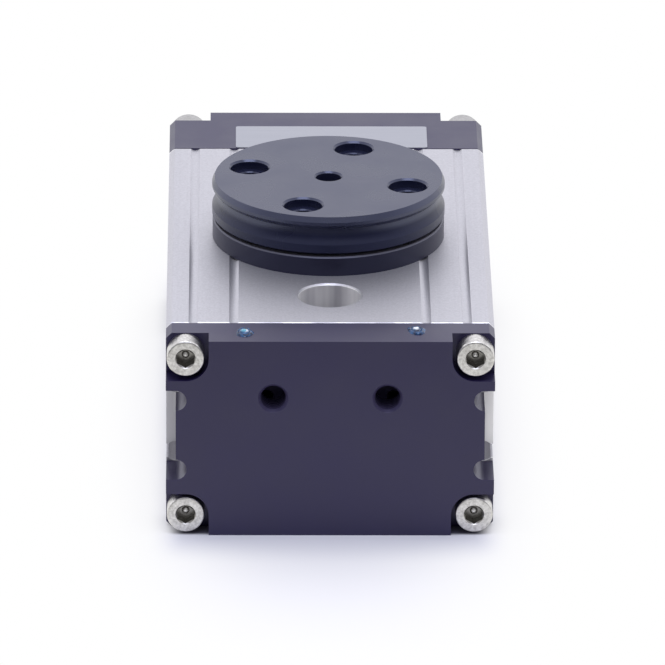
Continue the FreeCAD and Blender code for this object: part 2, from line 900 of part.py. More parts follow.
sunk_hole = turned_cut(bearing_cover, "sunk_hole", "XZ_Plane", 0, ring_screw_circle, [
    (0, at.body_height - PAST),
    (shank_radius + at.ring_screw_play, at.body_height - PAST),
    (shank_radius + at.ring_screw_play, rim_floor - cone + at.ring_screw_play),
    (head_radius, rim_floor),
    (head_radius, ring_top + PAST),
    (0, ring_top + PAST),
])
polar_pattern(bearing_cover, "sunk_holes", sunk_hole, len(screw_spots))
place(bearing_cover, turn=RING_TURN)
keep(bearing_cover, "bearing_cover")

screws = []
sunk_top = ring_top - at.ring_screw_sink
sunk_radius = head_radius - at.ring_head_play
for across, along in screw_spots:
    screw = turned_piece("bearing_cover_screw", "XZ_Plane", [
        (0, sunk_top),
        (sunk_radius, sunk_top),
        (sunk_radius, rim_floor),
        (shank_radius, rim_floor - cone + at.ring_head_play),
        (shank_radius, ring_top - at.ring_screw_length),
        (0, ring_top - at.ring_screw_length),
    ])
    drawing = new_sketch(screw, "sunk_key", "XY_Plane", sunk_top)
    hexagon(drawing, at.ring_screw_socket)
    pocket(screw, "sunk_socket", drawing, at.ring_screw_socket_depth)
    place(screw, ring_screw_side * across, ring_screw_side * along)
    screws.append(screw)
group("bearing_cover_screws", screws)
dust_seal = ring_along_z(
    "dust_seal", at.hub_radius + at.dust_play, at.dust_groove_radius - at.dust_side_play,
    dust_start + at.dust_side_play, dust_end - at.dust_side_play)
keep(dust_seal, "dust_seal")

# Output flange
centre_radius = at.centre_diameter / 2
flange_radius = at.flange_radius
foot_top = flange_floor + at.flange_foot_chamfer + at.flange_foot
nose_top = flange_top - at.rim_bevel_drop
nose_floor = nose_top - at.rim_land
undercut_floor = nose_floor - at.rim_undercut_drop
cove_top = undercut_floor - at.rim_root_drop
skin_floor = flange_top - at.flange_skin
output_flange = new_body("output_flange")
drawing = new_sketch(output_flange, "flange_section", "XZ_Plane")
outline(drawing, [
    (centre_radius, skin_floor),
    (at.hub_bore, skin_floor),
    (at.hub_bore, upper_top),
    (at.hub_radius, upper_top),
    (at.hub_radius, flange_floor),
    (flange_radius - at.flange_foot_chamfer, flange_floor),
    (flange_radius, flange_floor + at.flange_foot_chamfer),
    (flange_radius, foot_top, at.rim_cove_radius, -1),
    (flange_radius - at.rim_root_depth, cove_top),
    (flange_radius - at.rim_undercut_width, undercut_floor),
    (flange_radius, nose_floor),
    (flange_radius, nose_top),
    (flange_radius - at.rim_bevel_width, flange_top),
    (centre_radius + at.centre_chamfer, flange_top),
    (centre_radius, flange_top - at.centre_chamfer),
])
revolve(output_flange, "flange_turned", drawing)
hole_radius = at.hole_diameter / 2
centring_hole = turned_cut(output_flange, "centring_hole", "XZ_Plane", 0, at.hole_circle, [
    (0, flange_top + PAST),
    (hole_radius + at.hole_chamfer + PAST, flange_top + PAST),
    (hole_radius, flange_top - at.hole_chamfer),
    (hole_radius, flange_top - at.hole_depth),
    (at.thread_diameter / 2 + at.thread_entry, flange_top - at.hole_depth),
    (at.thread_diameter / 2, flange_top - at.hole_depth - at.thread_entry),
    (at.thread_diameter / 2, flange_top - at.thread_depth),
    (0, flange_top - at.thread_depth),
])
polar_pattern(output_flange, "centring_holes", centring_hole, int(at.hole_count.value))
key_floor = at.body_height + at.key_start
half_key = at.key_width / 2
half_keyway = half_key + at.key_play
key_inner = at.hub_bore - at.key_shaft_depth
keyway_end = at.hub_bore + at.key_hub_depth
drawing = new_sketch(output_flange, "hub_keyway", "XY_Plane", upper_top)
outline(drawing, [
    (key_inner, -half_keyway),
    (keyway_end, -half_keyway),
    (keyway_end, half_keyway),
    (key_inner, half_keyway),
])
pocket(output_flange, "hub_keyway_cut", drawing, skin_floor - upper_top, reverse=True)
place(output_flange, turn=at.rest_angle.value)
keep(output_flange, "output_flange")

flange_key = new_body("flange_key")
drawing = new_sketch(flange_key, "key_section", "XY_Plane", key_floor)
outline(drawing, [
    (key_inner, -half_key),
    (keyway_end - at.key_top_play, -half_key),
    (keyway_end - at.key_top_play, half_key),
    (key_inner, half_key),
])
pad(flange_key, "key_block", drawing, at.key_length)
place(flange_key, turn=at.rest_angle.value)
keep(flange_key, "flange_key")

# Pinion shaft: a turned blank with involute tooth gaps cut round it
tooth_floor = middle_height - at.tooth_face / 2
tooth_top = middle_height + at.tooth_face / 2
bevel = at.shaft_tip_chamfer
shaft_top = skin_floor - at.shaft_top_play
shaft_foot = at.lower_floor - at.shaft_stub
lower_seat = at.lower_inner - at.fit_play
upper_seat = at.upper_inner - at.fit_play
upper_seat_end = upper_top - at.shaft_step
collar_radius = at.upper_inner + at.ring_wall + at.collar_lap
blank = new_body("pinion_blank")
drawing = new_sketch(blank, "shaft_section", "XZ_Plane")
outline(drawing, [
    (0, shaft_foot),
    (lower_seat, shaft_foot),
    (lower_seat, lower_top),
    (at.shaft_neck, lower_top),
    (at.shaft_neck, tooth_floor),
    (tip_radius - bevel, tooth_floor),
    (tip_radius, tooth_floor + bevel),
    (tip_radius, tooth_top - bevel),
    (tip_radius - bevel, tooth_top),
    (at.shaft_neck, tooth_top),
    (at.shaft_neck, collar_floor),
    (collar_radius, collar_floor),
    (collar_radius, upper_floor),
    (upper_seat, upper_floor),
    (upper_seat, upper_seat_end),
    (at.hub_bore - at.fit_play, upper_seat_end),
    (at.hub_bore - at.fit_play, shaft_top),
    (centre_radius, shaft_top),
    (centre_radius, flange_top - at.centre_depth),
    (0, flange_top - at.centre_depth),
])
revolve(blank, "shaft_turned", drawing)
drawing = new_sketch(blank, "shaft_keyway", "XY_Plane", key_floor)
outline(drawing, [
    (key_inner, -half_keyway),
    (at.hub_bore + PAST, -half_keyway),
    (at.hub_bore + PAST, half_keyway),
    (key_inner, half_keyway),
])
pocket(blank, "shaft_keyway_cut", drawing, at.key_length, reverse=True)


def tooth_gap(start_height, height):
    """One gap between involute teeth, centred on the X axis, as a solid prism."""
    count = at.tooth_count.value
    pitch = pitch_radius.value
    pressure = math.radians(at.pressure_angle.value)
    base = pitch * math.cos(pressure)
    thickness = math.pi * at.tooth_module.value / 2 - at.backlash.value
    start = math.tan(pressure) - pressure

    def flank(radius, side):
        slope = math.acos(min(base / radius, 1))
        half_tooth = thickness / (2 * pitch) + start - (math.tan(slope) - slope)
        angle = (math.pi / count - half_tooth) * side
        return FreeCAD.Vector(radius * math.cos(angle), radius * math.sin(angle), start_height)

    outer = tip_radius.value + TIP_PAST
    inner = root_radius.value
    between = (base + outer) / 2
    foot = []
    for side in signs:
        mark = flank(base, side)
        foot.append(FreeCAD.Vector(mark.x * inner / base, mark.y * inner / base, start_height))
    edges = [
        Part.makeLine(foot[0], flank(base, -1)),
        Part.Arc(flank(base, -1), flank(between, -1), flank(outer, -1)).toShape(),
        Part.makeLine(flank(outer, -1), flank(outer, 1)),
        Part.Arc(flank(outer, 1), flank(between, 1), flank(base, 1)).toShape(),
        Part.makeLine(flank(base, 1), foot[1]),
        Part.Arc(foot[1], FreeCAD.Vector(inner, 0, start_height), foot[0]).toShape(),
    ]
    return Part.Face(Part.Wire(edges)).extrude(FreeCAD.Vector(0, 0, height))


first_gap = tooth_gap(tooth_floor.value - PAST, at.tooth_face.value + 2 * PAST)
gap_count = int(at.tooth_count.value)
gap_solids = []
for step in range(gap_count):
    gap = first_gap.copy()
    gap.rotate(FreeCAD.Vector(), UPRIGHT, (step + 0.5) * 360 / gap_count)
    gap_solids.append(gap)
gaps = doc.addObject("Part::Feature", "tooth_gaps")
gaps.Shape = Part.makeCompound(gap_solids)
pinion_shaft = doc.addObject("Part::Cut", "pinion_shaft")
pinion_shaft.Base = blank
pinion_shaft.Tool = gaps
place(pinion_shaft, turn=at.rest_angle.value)
keep(pinion_shaft, "pinion_shaft")


# Rack units: the left one is the right one turned half round the output axis
def rack_bar(name):
    body = new_body(name)
    radius = bore_radius - at.rack_play
    flat = at.rack_inset + at.tooth_module
    chord = (radius * radius - flat * flat).root()
    drawing = new_sketch(body, name + "_section", "XZ_Plane", -at.rack_half_length)
    outline(drawing, [
        (-flat, -chord, radius, 1),
        (radius, 0, radius, 1),
        (-flat, chord),
    ])
    pad(body, name + "_bar", drawing, at.rack_half_length * 2)
    spigot_end = at.rack_half_length + at.magnet_depth
    for side in signs:
        start = -spigot_end if side > 0 else at.rack_half_length
        drawing = new_sketch(body, name + "_spigot", "XZ_Plane", start)
        circle(drawing, 0, 0, at.spigot_radius)
        pad(body, name + "_spigot_pad", drawing, at.magnet_depth)
    for side in signs:
        drawing = new_sketch(body, name + "_thread", "XZ_Plane", spigot_end * -side)
        circle(drawing, 0, 0, at.piston_screw_diameter / 2 + at.thread_play)
        pocket(body, name + "_thread_cut", drawing, at.piston_screw_length, reverse=side > 0)
    slope = math.tan(math.radians(at.pressure_angle.value))
    pitch = at.tooth_module * math.pi
    first = pitch * -0.5 * (at.rack_gaps - 1)
    wide = pitch / 4 + at.tooth_module * slope
    narrow = pitch / 4 - (at.tooth_module + at.root_clearance) * slope
    root = at.rack_inset - at.tooth_module - at.root_clearance
    drawing = new_sketch(body, name + "_gap", "XY_Plane")
    outline(drawing, [
        (-flat - PAST, first - wide),
        (-flat, first - wide),
        (-root, first - narrow),
        (-root, first + narrow),
        (-flat, first + wide),
        (-flat - PAST, first + wide),
    ])
    gap = pocket(body, name + "_gap_cut", drawing, both=True)
    row_of_gaps = body.newObject("PartDesign::LinearPattern", name + "_gaps")
    row_of_gaps.Originals = [gap]
    row_of_gaps.Direction = (origin_feature(body, "Y_Axis"), [""])
    bind(row_of_gaps, "Length", pitch * (at.rack_gaps - 1))
    row_of_gaps.Occurrences = int(at.rack_gaps.value)
    body.Tip = row_of_gaps
    return body


def piston(name, out):
    """A piston head on the rack end that out points to; distances run out from the rack's end."""
    reach = bore_radius - at.piston_play
    guide_floor = reach - at.guide_depth
    lip_floor_radius = reach - at.lip_depth
    head_room = at.piston_screw_head / 2 + at.piston_head_play
    screw_room = at.piston_screw_diameter / 2 + at.piston_screw_play
    web_end = at.magnet_depth + at.piston_web
    profile = [
        (at.magnet_radius, 0),
        (reach, 0),
        (reach, at.guide_start),
        (guide_floor, at.guide_start),
        (guide_floor, at.guide_start + at.guide_width),
        (reach, at.guide_start + at.guide_width),
        (reach, at.lip_start),
        (lip_floor_radius, at.lip_start),
        (lip_floor_radius, at.lip_start + at.lip_width),
        (reach, at.lip_start + at.lip_width),
        (reach, at.piston_length - at.piston_chamfer),
        (reach - at.piston_chamfer, at.piston_length),
        (head_room, at.piston_length),
        (head_room, web_end),
        (screw_room, web_end),
        (screw_room, at.magnet_depth),
        (at.magnet_radius, at.magnet_depth),
    ]
    return turned_on_rack(name, profile, out)


def turned_on_rack(name, profile, out):
    """A piece turned about the rack's axis; distances run out from the rack's end."""
    return turned_piece(name, "XY_Plane", [
        (radius, (at.rack_half_length + far) * out) for radius, far in profile])


def ring_on_rack(name, inner, outer, start, width, out):
    end = start + width
    return turned_on_rack(name, [(inner, start), (outer, start), (outer, end), (inner, end)], out)


def lip_seal(name, inner, outer, out):
    """A seal of U section whose two lips open towards the air, away from the rack."""
    start = at.lip_start
    end = start + at.lip_width
    return turned_on_rack(name, [
        (inner, start),
        (outer, start),
        (outer, end),
        (outer - at.lip_wall, end),
        ((inner + outer) / 2, end - at.lip_notch),
        (inner + at.lip_wall, end),
        (inner, end),
    ], out)


for side_name, side in (("right", 1), ("left", -1)):
    unit = []
    rack = rack_bar(side_name + "_rack")
    unit.append(keep(rack, side_name + "_rack"))
    rings = {"piston_seals": [], "guide_rings": [], "magnets": [], "piston_screws": []}
    for out in signs:
        end_name = "front" if out * side < 0 else "rear"
        head = piston("%s_%s_piston" % (side_name, end_name), out)
        unit.append(keep(head, "%s_%s_piston" % (side_name, end_name)))
        reach = bore_radius - at.piston_play
        running = bore_radius - at.seal_play
        rings["piston_seals"].append(lip_seal(
            side_name + "_piston_seal", reach - at.lip_depth, running, out))
        rings["guide_rings"].append(ring_on_rack(
            side_name + "_guide_ring", reach - at.guide_depth, running,
            at.guide_start, at.guide_width, out))
        rings["magnets"].append(ring_on_rack(
            side_name + "_magnet", at.spigot_radius + at.fit_play, at.magnet_radius - at.fit_play,
            plain(0), at.magnet_depth, out))
        screw = cap_screw(
            side_name + "_piston_screw", at.piston_screw_diameter, at.piston_screw_head,
            at.piston_screw_diameter, at.piston_screw_length, at.piston_screw_socket,
            at.piston_screw_diameter / 2, at.piston_screw_edge, out)
        rings["piston_screws"].append(screw)
    turn = 0 if side > 0 else 180
    for label, members in rings.items():
        for out, member in zip(signs, members):
            lift = 0
            if label == "piston_screws":
                lift = (at.rack_half_length + at.magnet_depth + at.piston_web) * out * side
            place(member, bore_side * side, rest_shift * side + lift, middle_height, turn)
        group("%s_%s" % (side_name, label), members)
    for member in unit:
        place(member, bore_side * side, rest_shift * side, middle_height, turn)

# Stop screws with bumpers and lock nuts
stop_tip = at.rack_half_length + at.piston_length + travel + at.stop_gap
stop_start = stop_tip + at.bumper_proud
stop_end = nut_seat + at.nut_thickness + at.stop_tail
bumper_end = stop_tip + at.bumper_length
stop_radius = at.stop_diameter / 2
nut_corner = at.nut_across / math.sqrt(3)
nut_end = nut_seat + at.nut_thickness
bevel_start = at.nut_across / 2 - at.nut_bevel_inset
bevel_drop = (nut_corner - bevel_start) * math.tan(math.radians(at.nut_bevel_angle.value))
stops = []
nuts = []
bumpers = []
for side in signs:
    stop = turned_piece("stop_screw", "XY_Plane", [
        (0, bumper_end),
        (at.bumper_radius + at.fit_play, bumper_end),
        (at.bumper_radius + at.fit_play, stop_start),
        (stop_radius - at.stop_tip_chamfer, stop_start),
        (stop_radius, stop_start + at.stop_tip_chamfer),
        (stop_radius, stop_end - at.stop_end_chamfer),
        (stop_radius - at.stop_end_chamfer, stop_end),
        (0, stop_end),
    ])
    drawing = new_sketch(stop, "stop_key", "XZ_Plane", -stop_end)
    hexagon(drawing, at.stop_socket)
    pocket(stop, "stop_key_cut", drawing, at.stop_socket_depth, reverse=True)
    place(stop, bore_side * side, 0, middle_height)
    stops.append(stop)

    nut = new_body("stop_lock_nut")
    drawing = new_sketch(nut, "nut_section", "XZ_Plane", -nut_seat - at.nut_thickness)
    hexagon(drawing, at.nut_across)
    circle(drawing, 0, 0, stop_radius + at.thread_play)
    pad(nut, "nut_block", drawing, at.nut_thickness)
    turned_cut(nut, "nut_bevel", "XY_Plane", 0, None, [
        (bevel_start, nut_end),
        (nut_corner + PAST, nut_end),
        (nut_corner + PAST, nut_end - bevel_drop),
        (nut_corner, nut_end - bevel_drop),
    ])
    place(nut, bore_side * side, 0, middle_height)
    nuts.append(nut)

    bumper = ring_along_y("stop_bumper", 0, at.bumper_radius, stop_tip, bumper_end)
    place(bumper, bore_side * side, 0, middle_height)
    bumpers.append(bumper)
group("stop_screws", stops)
group("stop_lock_nuts", nuts)
group("stop_bumpers", bumpers)

doc.recompute()

# Every feature must stand, and every cut must take material away
for thing in doc.Objects:
    if "Invalid" in thing.State or "Error" in thing.State:
        raise RuntimeError("%s did not build: %s" % (thing.Name, thing.State))
    if thing.TypeId != "PartDesign::Body":
        continue
    before = 0.0
    for feature in thing.Group:
        if not feature.isDerivedFrom("PartDesign::Feature"):
            continue
        after = feature.Shape.Volume
        if feature.TypeId in ("PartDesign::Pocket", "PartDesign::Groove") and after > before - 1e-4:
            raise RuntimeError("%s of %s cuts nothing" % (feature.Name, thing.Name))
        before = after

os.makedirs("parts", exist_ok=True)
for piece in pieces:
    if piece.Shape.isNull() or not piece.Shape.isValid():
        raise RuntimeError("%s has no valid shape" % piece.Label)
    piece.Shape.exportStep("parts/%s.step" % piece.Label)
print("%d pieces written" % len(pieces))
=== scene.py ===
import json
import math

import bmesh
import bpy
from mathutils import Matrix, Quaternion, Vector, noise


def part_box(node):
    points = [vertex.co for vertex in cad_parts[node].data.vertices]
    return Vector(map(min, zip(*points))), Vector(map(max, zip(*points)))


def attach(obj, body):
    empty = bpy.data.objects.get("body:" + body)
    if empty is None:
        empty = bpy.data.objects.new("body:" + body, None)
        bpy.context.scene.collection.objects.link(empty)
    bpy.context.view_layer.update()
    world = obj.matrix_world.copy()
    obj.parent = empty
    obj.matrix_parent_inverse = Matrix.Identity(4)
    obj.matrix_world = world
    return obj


# Looks of a pneumatic rotary module: a silver body, black end covers and a grooved output flange.
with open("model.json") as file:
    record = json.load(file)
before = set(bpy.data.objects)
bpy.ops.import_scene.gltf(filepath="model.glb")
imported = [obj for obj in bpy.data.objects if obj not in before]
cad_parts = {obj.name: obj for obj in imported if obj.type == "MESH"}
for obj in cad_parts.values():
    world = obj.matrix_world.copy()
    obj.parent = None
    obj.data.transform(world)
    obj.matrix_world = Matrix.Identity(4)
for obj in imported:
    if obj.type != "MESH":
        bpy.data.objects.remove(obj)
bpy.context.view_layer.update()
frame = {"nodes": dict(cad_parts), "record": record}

# Sizes in metres, written as millimetres
MM = 0.001
OUTPUT_AXIS = Vector((0, 0, 1))
REAR = Vector((0, 1, 0))

# Faces of the CAD pieces that the looks line up with
FRONT_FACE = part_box("front_cover")[0].y
REAR_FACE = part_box("rear_cover")[1].y
BODY_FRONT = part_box("housing")[0].y
BODY_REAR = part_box("housing")[1].y
BODY_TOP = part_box("housing")[1].z
BODY_MIDDLE = BODY_TOP / 2
FLANGE_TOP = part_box("output_flange")[1].z
RING_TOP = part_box("bearing_cover")[1].z
FRONT_SCREW_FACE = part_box("front_cover_screws")[0].y
REAR_SCREW_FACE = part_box("rear_cover_screws")[1].y

# Thread crests
THREAD_PITCH = 1.0 * MM
THREAD_FLANK = 0.44 * THREAD_PITCH
THREAD_STEPS = 30
THREAD_SEAT = 0.02 * MM

# Air ports in the front cover
PORT_SIDE = 13.2 * MM
PORT_HEIGHT = 34.3 * MM
PORT_CORE = 2.975 * MM
PORT_DEPTH = 7.5 * MM
PORT_CHAMFER = 0.55 * MM
PORT_MOUTH = PORT_CORE + 1.1 * PORT_CHAMFER
PORT_THREAD_INSET = PORT_CHAMFER + 0.3 * MM
PORT_THREAD_HEIGHT = 0.12 * MM

# Counterbores and cut ends of the body
COUNTERBORE_ALONG = 39.5 * MM
COUNTERBORE_REACH = 7.4 * MM
COUNTERBORE_RIM = 0.1 * MM
CUT_SKIN = 0.02 * MM
# How far the pale cut-end colour reaches onto the top and sides, as a painted highlight along the end edges
EDGE_HIGHLIGHT_REACH = 0.6 * MM

# Output flange and the ring below it
FLANGE_TURN = math.radians(-18.2)
FLANGE_HOLES = 4
FLANGE_HOLE_CIRCLE = 19.6 * MM
FLANGE_HOLE_STEP = 2.2 * MM
FLANGE_THREAD_CORE = 2.5 * MM
FLANGE_THREAD_DEPTH = 7.7 * MM
FLANGE_THREAD_HEIGHT = 0.2 * MM
FLANGE_GROOVE = 4.0 * MM
FLANGE_INSIDE = 24.0 * MM
HOLE_LIP = 0.5 * MM
DULL_FADE = 1.0 * MM
# Height of the ring's top edge that is painted pale as a highlight
RING_EDGE = 0.3 * MM
HIGHLIGHT_FADE = 0.02 * MM

# Stop screws in the rear cover
STOP_SIDE = 16.5 * MM
STOP_RADIUS = 6.0 * MM
STOP_END_BEVEL = 0.8 * MM
STOP_THREAD_SEAT = 0.05 * MM
STOP_THREAD_HEIGHT = 0.2 * MM

# Cover screws and their sockets
SCREW_SIDE = 33.45 * MM
SCREW_RISE = 19.475 * MM
SCREW_MIDDLE = 24.425 * MM
SOCKET_REACH = 2.45 * MM
SOCKET_LIP = 0.1 * MM
SOCKET_DEPTH = 3.0 * MM
SOCKET_POINT_RADIUS = 0.92 * MM
SOCKET_POINT_RISE = 0.7 * MM

# Lacquer over the ball plugs
PLUG_SIDE = 19.8 * MM
PLUG_BACK = 5.4 * MM
FILM_HEIGHT = 0.16 * MM
BALL_HEIGHT = 0.85 * MM
BALL_SHARE = 0.56
RIM_HEIGHT = 0.45 * MM
RIM_START = 0.5
DROP_UNEVEN = 0.3
DROP_WAVES = 1.4

# Label on the rear cover
LABEL_MIDDLE = 1.3 * MM
LABEL_WIDTH = 46.4 * MM
LABEL_DEPTH = 14.4 * MM
LABEL_THICKNESS = 0.15 * MM
LABEL_CORNER = 0.7 * MM
LABEL_GAP = 0.3 * MM

# A wave texture of scale 1 repeats over this length
WAVE_PERIOD = math.pi / 10


def per(size_in_mm):
    """How many features of that size there are in a metre."""
    return 1000.0 / size_in_mm


def linear(colour):
    """An sRGB hex value as the linear colour that a shader takes."""
    shares = [int(colour[i:i + 2], 16) / 255 for i in (1, 3, 5)]
    return (*[c / 12.92 if c <= 0.04045 else ((c + 0.055) / 1.055) ** 2.4 for c in shares], 1.0)


def add_node(tree, kind, inputs=None, **settings):
    """Adds a node: settings first, then each input is linked to a socket or set to a value."""
    node = tree.nodes.new(kind)
    for name, value in settings.items():
        setattr(node, name, value)
    for name, value in (inputs or {}).items():
        if isinstance(value, bpy.types.NodeSocket):
            tree.links.new(value, node.inputs[name])
        else:
            node.inputs[name].default_value = value
    return node


def start_finish(name):
    """A new material with an empty tree, and the piece's own coordinates in metres."""
    material = bpy.data.materials.new(name)
    material.use_nodes = True
    tree = material.node_tree
    tree.nodes.clear()
    return material, tree, add_node(tree, "ShaderNodeTexCoord").outputs["Object"]


# Materials that show, with pattern sizes in millimetres
def clear_anodised_extrusion():
    # Extruded aluminium, etched matt and clear anodised: a pale, cool grey with a soft sheen.
    # Faint die lines run along the body, and the etched grain, drawn coarser than it is so that it
    # shows, breaks the reflections up. The counterbores and the saw-cut, deburred ends were cut after
    # etching, so they are paler. The vertical stripes on the counterbore walls are painted
    # reflections, and the pale colour of the ends reaches 0.6 mm onto the top and sides as a painted
    # highlight along the end edges.
    line_width = 0.6
    line_length = 120.0
    grain_size = 0.45
    cloud_size = 16.0
    stripe_width = 4.5
    stripe_length = 60.0
    material, tree, place = start_finish("clear_anodised_extrusion")
    along = add_node(tree, "ShaderNodeMapping", {
        "Vector": place, "Scale": (per(line_width), per(line_length), per(line_width))})
    lines = add_node(tree, "ShaderNodeTexNoise", {
        "Vector": along.outputs["Vector"], "Scale": 1.0, "Detail": 3.0, "Roughness": 0.6})
    grain = add_node(tree, "ShaderNodeTexNoise", {
        "Vector": place, "Scale": per(grain_size), "Detail": 3.0})
    cloud = add_node(tree, "ShaderNodeTexNoise", {
        "Vector": place, "Scale": per(cloud_size), "Detail": 2.0})
    streak = add_node(tree, "ShaderNodeMix", {
        "Factor": lines.outputs["Fac"], "A": linear("#c3c3c9"), "B": linear("#d6d5da")}, data_type="RGBA")
    clouded = add_node(tree, "ShaderNodeMix", {
        "Factor": cloud.outputs["Fac"], "A": streak.outputs["Result"], "B": linear("#cccbd0")},
        data_type="RGBA")
    speck = add_node(tree, "ShaderNodeMapRange", {
        "Value": grain.outputs["Fac"], "From Min": 0.3, "From Max": 0.7, "To Min": 0.0, "To Max": 0.5})
    etching = add_node(tree, "ShaderNodeMix", {
        "Factor": speck.outputs["Result"], "A": clouded.outputs["Result"], "B": linear("#b7b6ba")},
        data_type="RGBA")
    sheen = add_node(tree, "ShaderNodeMapRange", {
        "Value": grain.outputs["Fac"], "To Min": 0.43, "To Max": 0.57})
    folded = add_node(tree, "ShaderNodeVectorMath", {0: place}, operation="ABSOLUTE")
    from_bore = add_node(tree, "ShaderNodeVectorMath", {
        0: folded.outputs["Vector"], 1: (0, COUNTERBORE_ALONG, 0)}, operation="SUBTRACT")
    sideways = add_node(tree, "ShaderNodeVectorMath", {
        0: from_bore.outputs["Vector"], 1: (1, 1, 0)}, operation="MULTIPLY")
    reach = add_node(tree, "ShaderNodeVectorMath", {0: sideways.outputs["Vector"]}, operation="LENGTH")
    parts = add_node(tree, "ShaderNodeSeparateXYZ", {"Vector": place})
    near = add_node(tree, "ShaderNodeMath", {
        0: reach.outputs["Value"], 1: COUNTERBORE_REACH}, operation="LESS_THAN")
    below = add_node(tree, "ShaderNodeMath", {
        0: parts.outputs["Z"], 1: BODY_TOP - COUNTERBORE_RIM}, operation="LESS_THAN")
    bored = add_node(tree, "ShaderNodeMath", {
        0: near.outputs["Value"], 1: below.outputs["Value"]}, operation="MULTIPLY")
    halves = add_node(tree, "ShaderNodeSeparateXYZ", {"Vector": folded.outputs["Vector"]})
    # Within 0.6 mm of either end the colour is painted pale: the cut end faces, and a painted highlight
    # along the end edges.
    cut_ends_and_edge_highlight = add_node(tree, "ShaderNodeMath", {
        0: halves.outputs["Y"], 1: BODY_REAR - EDGE_HIGHLIGHT_REACH}, operation="GREATER_THAN")
    bare = add_node(tree, "ShaderNodeMath", {
        0: bored.outputs["Value"], 1: cut_ends_and_edge_highlight.outputs["Value"]}, operation="MAXIMUM")
    # The bare counterbore walls are paler, with vertical bands of painted reflection on them, from grey to
    # near white.
    upright = add_node(tree, "ShaderNodeMapping", {
        "Vector": place, "Scale": (per(stripe_width), per(stripe_width), per(stripe_length))})
    reflection_streaks = add_node(tree, "ShaderNodeTexNoise", {
        "Vector": upright.outputs["Vector"], "Scale": 1.0, "Detail": 2.0})
    painted_reflection_bands = add_node(tree, "ShaderNodeMapRange", {
        "Value": reflection_streaks.outputs["Fac"], "From Min": 0.36, "From Max": 0.64})
    bore_wall_with_painted_reflections = add_node(tree, "ShaderNodeMix", {
        "Factor": painted_reflection_bands.outputs["Result"], "A": linear("#bdbcc0"), "B": linear("#f8f7f6")},
        data_type="RGBA")
    colour = add_node(tree, "ShaderNodeMix", {
        "Factor": bare.outputs["Value"], "A": etching.outputs["Result"], "B": bore_wall_with_painted_reflections.outputs["Result"]},
        data_type="RGBA")
    skin = add_node(tree, "ShaderNodeMix", {
        "Factor": bare.outputs["Value"], "A": sheen.outputs["Result"], "B": 0.34})
    metal = add_node(tree, "ShaderNodeMapRange", {
        "Value": bare.outputs["Value"], "To Min": 0.92, "To Max": 0.6})
    ridges = add_node(tree, "ShaderNodeBump", {
        "Height": lines.outputs["Fac"], "Strength": 0.35, "Distance": 0.012 * MM})
    etched = add_node(tree, "ShaderNodeBump", {
        "Height": grain.outputs["Fac"], "Normal": ridges.outputs["Normal"],
        "Strength": 0.5, "Distance": 0.016 * MM})
    surface = add_node(tree, "ShaderNodeBsdfPrincipled", {
        "Base Color": colour.outputs["Result"], "Metallic": metal.outputs["Result"],
        "Roughness": skin.outputs["Result"], "Normal": etched.outputs["Normal"]})
    add_node(tree, "ShaderNodeOutputMaterial", {"Surface": surface.outputs["BSDF"]})
    return material


